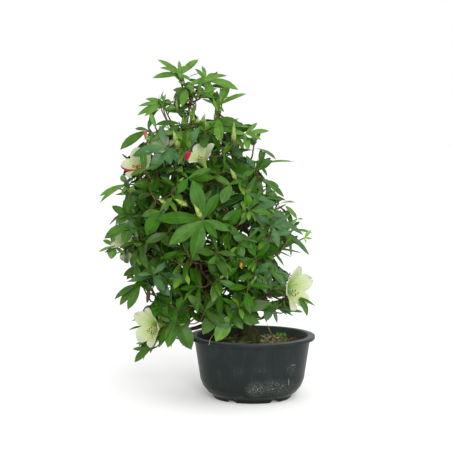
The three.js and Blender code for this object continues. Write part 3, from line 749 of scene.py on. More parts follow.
def makeSoilBall(peat, moss):
    rings, around, edge = soil["rings"], soil["around"], soilEdge()
    turns = [2 * math.pi * j / around for j in range(around)]
    points, faces, slots = [(0, 0, soilHeight(0, 0))], [], []
    atTrunk, elsewhere = soil["mossFrom"]
    for i in range(1, rings + 1):
        for turn in turns:
            x, y = onOval(edge * i / rings, turn)
            points.append((x, y, soilHeight(x, y)))
    for j in range(around):
        faces.append([0, 1 + j, 1 + (j + 1) % around])
    for i in range(rings - 1):
        for j in range(around):
            a, b = 1 + i * around + j, 1 + i * around + (j + 1) % around
            faces.append([a, a + around, b + around, b])
    for face in faces:
        x, y, _ = points[face[-1]]
        mossy = noise.noise(Vector((x, y, 3)) * 0.05) + 0.35 * noise.noise(Vector((x, y, 9)) * 0.3)
        nearTrunk = math.hypot(x - soil["mossMiddle"], y / 0.8) < soil["mossReach"]
        slots.append(1 if mossy > (atTrunk if nearTrunk else elsewhere) else 0)
    # the sides and bottom of the ball follow the pot's inside
    low = [(half - soil["wallGap"], height + 0.3) for half, height in potInside()[:3]][::-1]
    for half, height in low:
        points += [(*onOval(half, turn), height) for turn in turns]
    points.append((0, 0, low[-1][1]))
    for i in range(rings - 1, rings + len(low) - 1):
        for j in range(around):
            a, b = 1 + i * around + j, 1 + i * around + (j + 1) % around
            faces.append([a, a + around, b + around, b])
            slots.append(0)
    start = 1 + (rings + len(low) - 1) * around
    for j in range(around):
        faces.append([start + j, len(points) - 1, start + (j + 1) % around])
        slots.append(0)
    addPiece("soil_ball", points, faces, [peat, moss], "soil", slots, replaces=("soil",))


def makeCrumbs(draw, crumb, peat):
    # jagged bits with eight faces each, most of them small
    store = newStore()
    ends = ((0, 0, 1), (0, 0, -1), (1, 0, 0), (-1, 0, 0), (0, 1, 0), (0, -1, 0))
    corners = [unit(np.array(end, float)) for end in ends]
    sides = [[0, 2, 4], [0, 4, 3], [0, 3, 5], [0, 5, 2], [1, 4, 2], [1, 3, 4], [1, 5, 3], [1, 2, 5]]
    for _ in range(soil["crumbs"]):
        turn, out = 2 * math.pi * next(draw), math.sqrt(next(draw)) * 0.95
        x, y = onOval(soilEdge() * out, turn)
        least, more = soil["crumbSizes"]
        size = least + more * next(draw) ** 2
        jag = [c * size * (0.6 + 0.7 * next(draw)) for c in corners]
        middle = np.array([x, y, soilHeight(x, y) + 0.25 * size])
        putIn(store, [middle + c for c in jag], sides, 0 if next(draw) < soil["crumbsDry"] else 1)
    finishPiece("soil_crumbs", store, [crumb, peat], "soil", smooth=False)


def makeGreenery(draw, grass):
    # tufts of small pointed blades
    store = newStore()
    for pixelAcross, pixelDown, count, reach, tall in soil["tufts"]:
        middle = soilUnder(pixelAcross, pixelDown)
        for _ in range(count):
            turn, out = 2 * math.pi * next(draw), reach * math.sqrt(next(draw))
            x, y = middle[0] + out * math.cos(turn), middle[1] + 0.7 * out * math.sin(turn)
            foot = np.array([x, y, soilHeight(x, y) - 0.3])
            lean = np.array([spread(draw, 1.0), spread(draw, 1.0), 1])
            tip = foot + unit(lean) * tall * (0.45 + 0.55 * next(draw))
            side = unit(np.cross(tip - foot, (spread(draw, 1), spread(draw, 1), 0.3))) * 0.42
            half = (foot + tip) / 2 + np.array([spread(draw, 1), spread(draw, 1), 0])
            blade = [foot - side * 0.6, foot + side * 0.6, half + side, tip, half - side]
            putIn(store, blade, [[0, 1, 2, 3, 4]])
    finishPiece("soil_greenery", store, [grass], "soil")


def makeRoots(draw, straw):
    # curled straws, loose stalks and one long pale root
    store = newStore()
    edge, steps = soilEdge(), soil["strawSteps"]
    across, down = soil["strawPlace"]
    for k in range(soil["straws"]):
        start = soilUnder(mix(*across, next(draw)), mix(*down, next(draw)))
        if k % 4 == 0:
            turn, out = 2 * math.pi * next(draw), math.sqrt(next(draw)) * 0.8
            start = onOval(edge * out, turn)
        bearing, curl = 2 * math.pi * next(draw), spread(draw, soil["strawCurl"])
        length = mix(*soil["strawLengths"], next(draw))
        line = []
        x, y = start[0], start[1]
        for i in range(steps + 1):
            lift = 0.9 + 1.1 * math.sin(i * 1.1 + k)
            line.append((x, y, soilHeight(x, y) + lift * 0.7))
            bearing += curl / steps
            x += length / steps * math.cos(bearing)
            y += length / steps * math.sin(bearing)
            if math.hypot(x, y / pot["oval"]) > edge * soil["wallShare"]:
                break
        if len(line) > 3:
            putIn(store, *tubeShape(line, np.linspace(*soil["strawRadii"], len(line)), 5))
    for line in soil["strands"]:
        path = pathThrough([seenAt(x, y, depth) for x, y, depth in line], 30)
        putIn(store, *tubeShape(path["points"], np.linspace(*soil["strandRadii"], 30), 5))
    line = [soilUnder(*at) for at in soil["paleRoot"]]
    path = pathThrough([(x, y, soilHeight(x, y) + 1.3) for x, y, _ in line], 40)
    radii = np.linspace(*soil["paleRadii"], 40)
    putIn(store, *tubeShape(path["points"], radii, 8, barkRelief(0.25, 0.15)))
    finishPiece("soil_roots", store, [straw], "soil")


def makeSoil():
    # peat drinks the light: dark between its crumbs and paler on top of them
    peat, tree, shader = newMaterial(
        "moist peat and bark compost", "#3b3122", 0.92, Specular_IOR_Level=0.2
    )
    mottle(tree, shader, ("#241f14", "#564b31"), 5, (0.4, 0.62), bump=1.1, bumpGrain=1.6, detail=8)
    # moss is soft and never shines; its cushions go from olive to yellow-green
    moss, tree, shader = newMaterial("cushion moss", "#4c5a22", 0.95, Specular_IOR_Level=0.1)
    mottle(tree, shader, ("#3c451e", "#727d38"), 3, (0.35, 0.65), bump=0.8, bumpGrain=1.0, detail=6)
    # dried bark is dull and a little lighter than the peat round it
    crumb, tree, shader = newMaterial("dry bark crumbs", "#5b4a34", 0.9)
    mottle(tree, shader, ("#332a1b", "#574a31"), 2.5)
    # soft green blades with a slight gloss
    grass, tree, shader = newMaterial("liverwort and seedling green", "#5f9130", 0.6)
    mottle(tree, shader, ("#4c7c25", "#7aa83a"), 4)
    # dead straw: dull, greyish yellow
    straw, tree, shader = newMaterial("dry fine roots", "#8c8456", 0.8)
    mottle(tree, shader, ("#6f6842", "#a9a06f"), 6)
    makeSoilBall(peat, moss)
    draw = seeded(71)
    makeCrumbs(draw, crumb, peat)
    makeGreenery(draw, grass)
    makeRoots(draw, straw)


makeSoil()
print("soil made")

# The limbs, by the same points and radii as the solids.
trunk = {
    "line": (
        (-5, 0, 76),
        (-7, 1, 98),
        (-31, 3, 128),
        (-70, 5, 163),
        (-80, 2, 210),
        (-88, -3, 270),
        (-101, -4, 330),
        (-98, 0, 380),
        (-91, 2, 416),
    ),
    "radii": ((0, 12.5), (0.1, 11.6), (0.3, 10.6), (0.42, 6.8), (0.62, 4.8), (0.82, 3.4), (1, 2)),
    "foot": 84.3,
    "flare": 9,
    "flareFade": 9,
    "roots": 5,
    "ridge": (0.72, 0.38),
    "ridgeTurn": 0.6,
    "sides": 40,
    "steps": 170,
    "fissures": ((90, 1.9), (150, 1.5), (230, 0.6), (420, 0.2)),  # how deep at each height
    "moss": 2600,  # blades
    "mossTop": 0.2,  # how far up the trunk they go
    "mossBare": (-0.12, 90),  # patches without them: below which noise, and from what height
    "mossBlade": (1.2, 3),
    "mossGrain": 9.0909,  # moss on the bark itself: patches of that size, between those heights
    "mossHeights": (75, 200),
    "mossMore": (0.34, -0.12),
    "mossEdge": (0.56, 0.68),
    "mossMost": 0.85,
    "mossTint": "#363c1f",
    "thin": 0.86,  # bark is drawn on a little inside the solid, and its ridges reach out
    "rootFoot": (-6, 1),
    "rootHeight": 91,
    "surfaceRoots": (  # bearing in degrees, length and thickness
        (200, 31, 4.4),
        (232, 36, 5.2),
        (268, 24, 3.8),
        (318, 25, 4),
        (30, 26, 3.6),
        (110, 24, 3.6),
    ),
}
stems = {  # the height where each leaves the trunk, what it goes through, and its first and last radius
    "stem_right": {
        "leaves": 158,
        "through": ((-36, -7, 170), (-8, -4, 205), (4, 2, 250), (9, 6, 290), (6, 2, 320)),
        "radii": (5.4, 2),
    },
    "stem_centre": {
        "leaves": 178,
        "through": ((-56, 14, 208), (-34, 18, 262), (-38, 14, 330), (-47, 10, 388)),
        "radii": (5, 1.8),
    },
    "stem_left": {
        "leaves": 186,
        "through": ((-104, 10, 214), (-134, 12, 240), (-160, 8, 268)),
        "radii": (4.6, 1.8),
    },
}
stemBark = {"collar": 0.9, "collarLength": 9, "sides": 18, "steps": 80, "relief": (0.8, 0.4)}

limbs = {
    "trunk": {"path": pathThrough(trunk["line"]), "radius": lambda share: between(trunk["radii"], share)}
}
for name, stem in stems.items():
    carrier = limbs["trunk"]["path"]
    start = along(carrier, shareAtHeight(carrier, stem["leaves"]))
    thick, thin = stem["radii"]
    limbs[name] = {
        "path": pathThrough([start] + list(stem["through"])),
        "radius": lambda share, thick=thick, thin=thin: mix(thick, thin, share),
    }

# The crown's outline from the front (height, left, right), its depth over its width, and its masses.
crown = {
    "outline": (
        (64, -168, -112),
        (84, -173, -86),
        (104, -174, -60),
        (124, -177, 66),
        (150, -182, 82),
        (200, -206, 77),
        (226, -211, 78),
        (255, -206, 74),
        (284, -207, 58),
        (312, -204, 47),
        (341, -194, 38),
        (370, -180, 16),
        (398, -166, -2),
        (427, -153, -26),
        (455, -145, -33),
        (474, -136, -62),
    ),
    "depth": 0.88,
    "shootMargin": 15,
    "leafMargin": -13,
    "space": (58, 56, 52),
}
massTable = (  # name, height, bearing, how far out, shoots, limb, and the height where its bough leaves that
    ("top", 448, 0, 0, 5, "trunk", None),
    ("top_right", 404, 10, 0.55, 5, "stem_centre", None),
    ("top_left", 398, 215, 0.5, 4, "trunk", 345),
    ("top_back", 392, 110, 0.5, 4, "trunk", 330),
    ("upper_left", 338, 180, 0.62, 5, "trunk", 292),
    ("upper_front", 344, 275, 0.5, 5, "trunk", 280),
    ("upper_right", 348, 0, 0.58, 5, "stem_right", None),
    ("upper_back", 332, 90, 0.55, 5, "stem_centre", 300),
    ("mid_left", 280, 183, 0.64, 5, "stem_left", None),
    ("mid_front_left", 278, 244, 0.6, 5, "trunk", 232),
    ("mid_front_right", 276, 308, 0.62, 5, "stem_right", 236),
    ("mid_right_back", 272, 28, 0.62, 5, "stem_right", 248),
    ("mid_back", 274, 108, 0.62, 5, "stem_centre", 246),
    ("low_left_back", 214, 155, 0.62, 4, "stem_left", 214),
    ("low_left", 214, 204, 0.66, 5, "trunk", 186),
    ("low_front", 208, 264, 0.6, 5, "trunk", 168),
    ("low_right_front", 212, 322, 0.64, 5, "stem_right", 190),
    ("low_right", 212, 14, 0.66, 5, "stem_right", 204),
    ("low_back", 210, 86, 0.6, 4, "trunk", 176),
    ("foot_left", 154, 190, 0.66, 4, "trunk", 152),
    ("foot_front", 146, 244, 0.62, 5, "trunk", 134),
    ("foot_front_right", 150, 302, 0.6, 4, "trunk", 120),
    ("foot_right", 156, 0, 0.66, 5, "stem_right", 176),
    ("foot_back", 150, 96, 0.6, 4, "trunk", 140),
    ("hanging_left", 98, 205, 0.4, 5, "trunk", 126),
)
bough = {
    "startShare": 0.5,
    "startLeast": 2.4,
    "tip": 2.1,
    "short": 34,
    "sag": 8,
    "bend": 0.42,
    "thin": 0.2,
    "collar": 0.7,
    "collarLength": 6,
    "sides": 12,
    "steps": 14,
    "relief": (0.4, 0.25),
}
twig = {  # the rule that the solids grow by, then what the finer ones add
    "stretch": 22,
    "stretchMost": 0.7,
    "rise": 0.6,
    "margin": 11,
    "knee": 3.8,
    "inner": 0.3,
    "tries": 60,
    "aside": 0.8,
    "forks": (0.2, 0.95),
    "fine": 9,  # finer shoots in each mass, from its first ones
    "fineTop": {"top": 2, "top_right": 3, "top_left": 4, "top_back": 5},
    "fineMargin": 3,
    "fineCrown": 4,  # how much nearer to the crown's outline they may end
    "fineShare": 0.7,  # their rise and stretch against the first ones'
    "fineMost": 0.6,
    "fineRoots": (0.35, 0.5, 0.65),  # where they leave a shoot
    "stemRoots": (0.4, 0.6, 0.8),  # and the stem
    "sag": 1.5,
    "stemTip": 1.7,
    "budChance": 0.2,  # of a bud in the middle of a full whorl
    "budLengths": (9, 16),
    "radii": (1.5, 1.05),
    "fineRadii": (1.15, 0.8),
}
heights = [row[0] for row in crown["outline"]]


def crownAt(height):
    left = np.interp(height, heights, [row[1] for row in crown["outline"]])
    right = np.interp(height, heights, [row[2] for row in crown["outline"]])
    return (left + right) / 2, (right - left) / 2


def inCrown(point, margin):
    # whether a point is inside the crown's outline by that margin
    if point[2] < heights[0] + margin or point[2] > heights[-1] - margin:
        return False
    middle, half = crownAt(point[2])
    across = (point[0] - middle) / max(1, half - margin)
    through = point[1] / max(1, half * crown["depth"] - margin)
    return across * across + through * through < 1


def planMass(row):
    name, height, turn, out, shoots, limb, leaves = row
    centre, half = crownAt(height)
    turn = math.radians(turn)
    x, y = centre + half * out * math.cos(turn), half * crown["depth"] * out * math.sin(turn)
    middle = np.array([x, y, height])
    path = limbs[limb]["path"]
    plan = {"name": name, "middle": middle, "shoots": shoots, "limb": limb, "entry": None}
    if leaves is None:
        tip = headingOf(path, 1)
        return plan | {"start": along(path, 1), "along": tip, "width": limbs[limb]["radius"](1)}
    share = shareAtHeight(path, leaves)
    root = along(path, share)
    away = middle - root
    entry = root + away * (1 - bough["short"] / np.linalg.norm(away)) - np.array([0, 0, bough["sag"]])
    goes = unit(middle - entry)
    plan |= {"start": entry, "along": goes, "width": bough["tip"]}
    return plan | {"root": root, "entry": entry, "share": share}


plans = [planMass(row) for row in massTable]
middles = np.array([plan["middle"] for plan in plans])
for plan in plans:
    if plan["entry"] is not None:
        reach = np.linalg.norm(plan["entry"] - plan["root"])
        carrier = limbs[plan["limb"]]["radius"](plan["share"])
        thick = max(bough["startLeast"], carrier * bough["startShare"])
        elbow = plan["entry"] - plan["along"] * reach * bough["bend"]
        limbs["bough_" + plan["name"]] = {
            "path": pathBent(plan["root"], elbow, plan["entry"]),
            "radius": lambda share, thick=thick: mix(thick, bough["tip"], share),
        }


def ownsPoint(plan, point, margin):
    # whether a point is nearer to this mass than to any other, by that margin
    away = middles - plan["middle"]
    apart = np.linalg.norm(away, axis=1)
    other = apart > 0
    reach = (away[other] @ (point - plan["middle"])) / apart[other]
    return bool(np.all(reach < apart[other] / 2 - margin))


def trunkRelief(point, turn, ring):
    # roots flare out at the foot, and the bark is cracked less deep higher up
    rise = max(0, point[2] - trunk["foot"])
    middle, swing = trunk["ridge"]
    ridge = middle + swing * math.cos(trunk["roots"] * turn + trunk["ridgeTurn"])
    flare = trunk["flare"] * math.exp(-rise / trunk["flareFade"]) * ridge
    lump = noise.noise(Vector(point) * 0.16) * 2.2 * math.exp(-rise / 30)
    deep = between(trunk["fissures"], point[2])
    return flare * 0.9 + lump + barkRelief(deep, deep / 2)(point, turn, ring)


def growMoss(shape):
    # cushions of short blades on the foot of the trunk, thinning out up it; matt and dark at their base
    moss, tree, shader = newMaterial("moss blades", "#4b5426", 0.9, Specular_IOR_Level=0.1)
    mottle(tree, shader, ("#1f1b11", "#474f26"), 5, (0.42, 0.6))
    draw = seeded(31)
    store = newStore()
    sides = trunk["sides"]
    rings = len(shape) // sides
    bareNoise, bareFrom = trunk["mossBare"]
    for _ in range(trunk["moss"]):
        ring, side = int(rings * trunk["mossTop"] * next(draw) ** 1.6), int(sides * next(draw))
        foot = np.array(shape[ring * sides + side])
        middle = np.mean(shape[ring * sides : (ring + 1) * sides], axis=0)
        if noise.noise(Vector(foot) * 0.12) < bareNoise and foot[2] > bareFrom:
            continue
        out = unit(foot - middle)
        foot = foot + np.array([spread(draw, 1.6), spread(draw, 1.6), spread(draw, 1.6)]) - out * 0.4
        way = unit(out + np.array([spread(draw, 1.4), spread(draw, 1.4), 0.3 + next(draw)]))
        tip = foot + way * mix(*trunk["mossBlade"], next(draw))
        across = unit(np.cross(tip - foot, (spread(draw, 1), spread(draw, 1), 0.4))) * 0.5
        blade = [foot - across, foot + across, tip + across * 0.3, tip - across * 0.3]
        putIn(store, blade, [[0, 1, 2, 3]])
    finishPiece("trunk_moss", store, [moss], "bark")


def oldBark():
    # fissured bark: dull, dark in its cracks, and green where moss grows on it
    bark, tree, shader = newMaterial(
        "fissured old bark with moss", "#4b3d2c", 0.92, Specular_IOR_Level=0.2
    )
    place, base = mottle(
        tree, shader, ("#1f1a12", "#463a29"), 6, (0.35, 0.66), bump=0.7, bumpGrain=1.5, detail=8
    )
    # moss is thick on the foot and thins out up the trunk
    patches = addNode(
        tree, "ShaderNodeTexNoise", {"Vector": place, "Scale": 1 / (trunk["mossGrain"] * mm), "Detail": 5}
    ).outputs["Fac"]
    height = addNode(tree, "ShaderNodeSeparateXYZ", {"Vector": place}).outputs["Z"]
    low, high = trunk["mossHeights"]
    atFoot, above = trunk["mossMore"]
    more = addNode(
        tree,
        "ShaderNodeMapRange",
        {"Value": height, "From Min": low * mm, "From Max": high * mm, "To Min": atFoot, "To Max": above},
    ).outputs["Result"]
    total = addNode(tree, "ShaderNodeMath", {0: patches, 1: more}, operation="ADD").outputs[0]
    low, high = trunk["mossEdge"]
    mossy = addNode(
        tree,
        "ShaderNodeMapRange",
        {"Value": total, "From Min": low, "From Max": high, "To Max": trunk["mossMost"]},
    ).outputs["Result"]
    layer = addNode(
        tree,
        "ShaderNodeMix",
        {"Factor": mossy, 6: base.outputs[2], 7: linear(trunk["mossTint"])},
        data_type="RGBA",
    )
    tree.links.new(layer.outputs[2], shader.inputs["Base Color"])
    return bark


def makeLimbs():
    bark = oldBark()
    # young bark is thin and close: finer relief, warmer and a little less dull
    young, tree, shader = newMaterial("thin red-brown bark", "#5d4030", 0.8, Specular_IOR_Level=0.3)
    mottle(tree, shader, ("#38291b", "#5f4833"), 4, (0.35, 0.65), bump=0.25, bumpGrain=1.2, detail=5)

    store = newStore()
    path = limbs["trunk"]["path"]
    shares = np.linspace(0, 1, trunk["steps"])
    line = np.array([along(path, s) for s in shares])
    keep = line[:, 2] > trunk["foot"] - 3
    radii = [limbs["trunk"]["radius"](s) * trunk["thin"] for s in shares[keep]]
    shape, faces = tubeShape(line[keep], radii, trunk["sides"], trunkRelief)
    putIn(store, shape, faces)
    growMoss(shape)
    # roots that stand out of the soil round the foot
    foot = np.array([*trunk["rootFoot"], 0])
    for bearing, length, thick in trunk["surfaceRoots"]:
        out = np.array([math.cos(math.radians(bearing)), math.sin(math.radians(bearing)), 0])
        side = np.array([-out[1], out[0], 0]) * length * 0.12
        ends = [foot + out * 5, foot + out * length * 0.55 + side, foot + out * length]
        ends[0] = ends[0] + np.array([0, 0, trunk["rootHeight"]])
        ends[1] = ends[1] + np.array([0, 0, soilHeight(*ends[1][:2]) + thick * 0.2])
        ends[2] = ends[2] + np.array([0, 0, soilHeight(*ends[2][:2]) - thick * 0.3])
        path = pathThrough(ends, 20)
        radii = np.linspace(thick, thick * 0.3, 20)
        putIn(store, *tubeShape(path["points"], radii, 14, barkRelief(0.9, 0.5)))
    for name in stems:
        path = limbs[name]["path"]
        shares = np.linspace(0, 1, stemBark["steps"])
        line = [along(path, s) for s in shares]
        # a collar where it leaves its limb
        collars = [math.exp(-s * path["length"] / stemBark["collarLength"]) for s in shares]
        radii = [limbs[name]["radius"](s) + stemBark["collar"] * c for s, c in zip(shares, collars)]
        putIn(store, *tubeShape(line, radii, stemBark["sides"], barkRelief(*stemBark["relief"])))
    finishPiece("trunk_bark", store, [bark], "bark", replaces=("trunk", *stems))

    store = newStore()
    names = [name for name in limbs if name.startswith("bough_")]
    for name in names:
        path = limbs[name]["path"]
        shares = np.linspace(0, 1, bough["steps"])
        line = [along(path, s) for s in shares]
        collars = [bough["collar"] * math.exp(-s * path["length"] / bough["collarLength"]) for s in shares]
        radii = [limbs[name]["radius"](s) - bough["thin"] + c for s, c in zip(shares, collars)]
        putIn(store, *tubeShape(line, radii, bough["sides"], barkRelief(*bough["relief"])))
    finishPiece("bough_bark", store, [young], "branch", replaces=names)


makeLimbs()
print("limbs made")

# Shoots: each goes to the place farthest from the ones before it, as in the solids, then on to finer ones.
def forkShare(path, tip):
    # how far along its stem a shoot to that tip leaves it
    start, end = path["points"][0], path["points"][-1]
    whole = end - start
    length = np.linalg.norm(whole)
    reach = (tip - start) @ whole / length
    off = math.sqrt(max(0, (tip - start) @ (tip - start) - reach * reach))
    return min(max((reach - twig["aside"] * off) / length, twig["forks"][0]), twig["forks"][1])


def shootTo(path, tip):
    root = along(path, forkShare(path, tip))
    axis = unit(unit(tip - root) + np.array([0, 0, twig["rise"]]))
    stretch = min(twig["stretch"], twig["stretchMost"] * np.linalg.norm(tip - root))
    return {"root": root, "tip": tip, "axis": axis, "stretch": stretch, "knee": tip - axis * stretch}


def tryPlace(plan, draw):
    # a place in the mass's own space
    height = 2 * next(draw) - 1
    turn = 2 * math.pi * next(draw)
    out = mix(twig["inner"], 1, math.sqrt(next(draw)))
    flat = math.sqrt(1 - height * height)
    way = np.array([flat * math.cos(turn), flat * math.sin(turn), height])
    return plan["middle"] + way * np.array(crown["space"]) * out


def planShoots(plan, stem, draw):
    shoots = []
    taken = [stem["points"][0], stem["points"][-1]]
    for _ in range(plan["shoots"]):
        best, widest = None, 0
        for _ in range(twig["tries"]):
            tip = tryPlace(plan, draw)
            gap = min(np.linalg.norm(tip - point) for point in taken)
            if gap > widest and ownsPoint(plan, tip, twig["margin"]) and inCrown(tip, crown["shootMargin"]):
                shoot = shootTo(stem, tip)
                if ownsPoint(plan, shoot["knee"], twig["knee"]):
                    best, widest = shoot, gap
        if best:
            shoots.append(best)
            taken.append(best["tip"])
    return shoots


def planFiner(plan, stem, shoots, draw):
    finer = []
    taken = [shoot["tip"] for shoot in shoots] + [stem["points"][-1]]
    margin = crown["shootMargin"] - twig["fineCrown"]
    for _ in range(twig["fineTop"].get(plan["name"], twig["fine"])):
        best, widest = None, 0
        for _ in range(twig["tries"] // 2):
            tip = tryPlace(plan, draw)
            gap = min(np.linalg.norm(tip - point) for point in taken)
            if gap > widest and ownsPoint(plan, tip, twig["fineMargin"]) and inCrown(tip, margin):
                best, widest = tip, gap
        if best is None:
            continue
        roots = [
            (along(shoot["path"], s), i, s) for i, shoot in enumerate(shoots) for s in twig["fineRoots"]
        ]
        roots += [(along(stem, s), -1, s) for s in twig["stemRoots"]]
        root, parent, share = min(roots, key=lambda row: np.linalg.norm(row[0] - best))
        axis = unit(unit(best - root) + np.array([0, 0, twig["rise"] * twig["fineShare"]]))
        stretch = min(twig["stretch"] * twig["fineShare"], twig["fineMost"] * np.linalg.norm(best - root))
        knee = best - axis * stretch
        shoot = {"root": root, "tip": best, "axis": axis, "stretch": stretch, "knee": knee}
        finer.append(shoot | {"parent": parent, "share": share})
        taken.append(best)
    return finer


def shootPath(shoot):
    middle = (shoot["root"] + shoot["knee"]) / 2 - np.array([0, 0, twig["sag"]])
    return pathThrough([shoot["root"], middle, shoot["knee"], shoot["tip"]], 25)


# Leaves: whorls at the shoots' tips, the outer ones long and low, the inner ones short and upright.
leaf = {
    "length": 41,
    "width": (0.34, 0.46),
    "lengths": (0.46, 1.12),
    "roll": 1.2,  # how far a blade may turn about its own rib
    "inner": 4,  # leaves further down each twig
    "innerLengths": (0.42, 0.72),
    # light tints for these shaded leaves: painted light
    "innerTints": ("mature", "fresh", "fresh", "fresh", "young"),
    "innerDead": 0.06,
    "lean": (34, 88),  # degrees away from the shoot, from the innermost leaf to the outermost
    "count": (6, 8),
    "least": 3,  # leaves, or the twig isn't grown
    "golden": 137.5,
    "tries": 4,  # for each leaf, each try turned on, less leaning and shorter
    "tryTurn": 40,
    "tryLean": 8,
    "tryLength": 0.1,
    "turnSpread": 26,
    "leanSpread": 18,
    "lengthSpread": 0.34,
    "twist": 0.7,
    "fine": 0.84,  # size on the finer twigs
    "potRoom": (94, 74, 93),  # half length, half depth and height that leaves keep out of
    "bloomRoom": (7, 23),  # how far in front of a flower's throat, and how far round it
    "overBox": 6,
    "droop": (0.12, 0.5),  # at the crown's top and at its foot
    "bend": (18, 62),  # degrees along its length
    "fold": (0.08, 0.4),
    "rib": 0.32,  # half its width at most
    "rows": (0, 0.05, 0.17, 0.33, 0.5, 0.67, 0.84, 1),
    "columns": (-1, -0.55, -0.06, 0.06, 0.55, 1),
}
leafTints = {  # blade from dark to light, its rib, and its sheen
    "young": ("#597e25", "#6b922e", "#86ac4b", 0.32),
    "fresh": ("#41681a", "#4f7921", "#6f9541", 0.28),
    "mature": ("#2f5114", "#3a601b", "#50772e", 0.17),
    "strong": ("#264a09", "#2e580d", "#406f1b", 0.09),
    "deep": ("#294311", "#324f16", "#446326", 0.15),
    # a greyer, bluer green that stands in for the sky's reflection on the wax: painted reflection
    "bluish": ("#31522a", "#3c6133", "#507546", 0.24),
    "yellow": ("#875f10", "#9d7519", "#a88835", 0.15),
    "dead": ("#2c2418", "#473823", "#5a4a30", 0.1),
}
flowers = (  # throat in the photograph, depth, way it faces, turn, size, where it is crimson
    ((289.5, 288), -56, (0.78, -0.62, 0.02), 0.75, 1.07, None),
    ((155, 326), -42, (-0.74, -0.67, 0), 0.58, 0.98, None),
    ((142, 167), -36, (-0.45, -0.65, 0.6), 0.2, 0.88, ((-1, 0, -0.5), 1)),
    ((161, 151), -46, (-0.2, -0.5, 0.85), 0.7, 0.72, None),
    ((202, 160), -80, (-0.36, -0.44, 0.82), 0.25, 0.8, ((-1, 0, -0.2), 0)),
    ((128, 238), -30, (-0.6, -0.6, 0.5), 0.0, 0.82, None),
    ((268, 246), -30, (0.5, -0.6, 0.5), 0.4, 0.66, None),
    ((205, 215), 96, (-0.2, 0.9, 0.4), 0.2, 0.9, None),
    ((262, 236), 60, (0.6, 0.75, 0.2), 0.6, 0.9, None),
    ((140, 252), 62, (-0.6, 0.75, 0.2), 0.1, 0.9, ((0, 0, 1), 0)),
)
openings = [(seenAt(*row[0], row[1]), unit(np.array(row[2], float)), row[4]) for row in flowers]
skyGaps = (  # where the photograph shows sky between the sprays: across, down, radius in pixels
    (142, 92, 15), (157, 87, 6), (163, 84, 4), (172, 84, 6), (188, 71, 4), (211, 74, 3), (170, 96, 4),
    (205, 106, 9), (208, 114, 7), (199, 112, 6), (195, 103, 5), (230, 108, 9), (241, 104, 9), (252, 112, 9),
    (248, 92, 8), (168, 119, 5), (164, 114, 5), (157, 118, 4), (153, 128, 4), (131, 122, 8), (133, 133, 4),
    (137, 142, 6), (129, 149, 6), (150, 151, 4), (272, 142, 6), (283, 150, 8), (252, 153, 6), (258, 146, 4),
    (290, 172, 8), (273, 167, 6), (268, 174, 6), (274, 180, 7), (282, 187, 7), (109, 178, 11), (100, 180, 6),
    (117, 180, 5), (292, 207, 4), (115, 210, 5), (111, 216, 4), (108, 200, 6), (118, 204, 5), (104, 262, 6),
    (112, 275, 8), (117, 261, 5), (122, 268, 6), (130, 258, 3), (106, 290, 8), (150, 300, 6), (143, 303, 7),
    (139, 295, 5), (135, 299, 5), (154, 292, 5), (137, 311, 4), (160, 352, 7), (173, 357, 8), (185, 354, 6),
    (150, 364, 4), (177, 342, 5), (195, 326, 8), (200, 338, 5), (259, 310, 4), (260, 323, 6), (271, 326, 8),
    (282, 326, 6), (277, 314, 5), (303, 262, 9), (309, 273, 8), (295, 262, 6), (286, 264, 7), (291, 255, 4),
    (291, 271, 5), (168, 86, 5), (171, 92, 4), (143, 122, 4), (176, 116, 4), (117, 160, 4), (289, 193, 5),
    (300, 206, 5), (301, 270, 6), (306, 280, 6), (293, 248, 4), (276, 256, 4), (142, 292, 4), (158, 292, 4),
    (245, 235, 3), (235, 233, 2.5), (231, 244, 2), (279, 263, 4), (148, 265, 3), (272, 281, 3), (275, 297, 4),
)
trunkShows = ((202, 272, 6), (206, 286, 6))  # where the fork shows between the leaves in front of it
# Leaves are tinted lighter by where they stand: up the crown partly for young growth and partly as painted
# light from above; at the flanks, most at the right, as painted light from that side; at the foot and in the
# heart of the crown as painted light in their shade.
lightRule = {  # what makes a leaf lighter: how much over how many millimetres, and from what height
    "up": (0.5, 390, 90),
    "top": (0.2, 100, 370),
    "foot": (0.3, 110, 210),  # from there down
    "heart": 0.35,  # in the middle of the crown, from none at its outline
    "right": 0.34,
    "left": 0.14,
    "sides": (90, 360),  # the two before count over how many millimetres, from there down
    "spread": 0.42,
    "young": 0.84,
    "fresh": 0.6,
    "mature": 0.36,
    "bluishShare": 0.3,
    "strongShare": 0.6,
    "sprayShare": 0.72,  # of a spray's leaves that have its own tint
}


def leafTint(point, draw):
    # dealt out by spray: lightest at the top (young growth, and painted light from above), then at the right
    # (painted light from that side), the foot and the heart of the crown (painted light lifting their shade)
    x, y, z = point
    middle, half = crownAt(z)
    out = min(1, math.hypot((x - middle) / half, y / (half * crown["depth"])))
    more, over, start = lightRule["up"]
    light = (z - start) / over * more + lightRule["heart"] * (1 - out) + spread(draw, lightRule["spread"])
    moreTop, overTop, fromTop = lightRule["top"]
    moreFoot, overFoot, fromFoot = lightRule["foot"]
    light += moreTop * max(0, (z - fromTop) / overTop) + moreFoot * max(0, (fromFoot - z) / overFoot)
    over, start = lightRule["sides"]
    side = (x - middle) / half * min(max((start - z) / over, 0), 1)
    light += lightRule["right"] * max(0, side) + lightRule["left"] * max(0, -side)
    if light > lightRule["young"]:
        return "young"
    if light > lightRule["fresh"]:
        return "fresh"
    if light > lightRule["mature"]:
        return "bluish" if next(draw) < lightRule["bluishShare"] else "mature"
    return "strong" if next(draw) < lightRule["strongShare"] else "deep"


def clearOfPot(point):
    length, depth, height = leaf["potRoom"]
    over = (point[0] / length) ** 2 + (point[1] / depth) ** 2 < 1
    return not (over and point[2] < height)


def clearOfBlooms(point):
    ahead, room = leaf["bloomRoom"]
    for throat, axis, size in openings:
        if np.linalg.norm(point - throat - axis * ahead * size) < room * size:
            return False
    return True


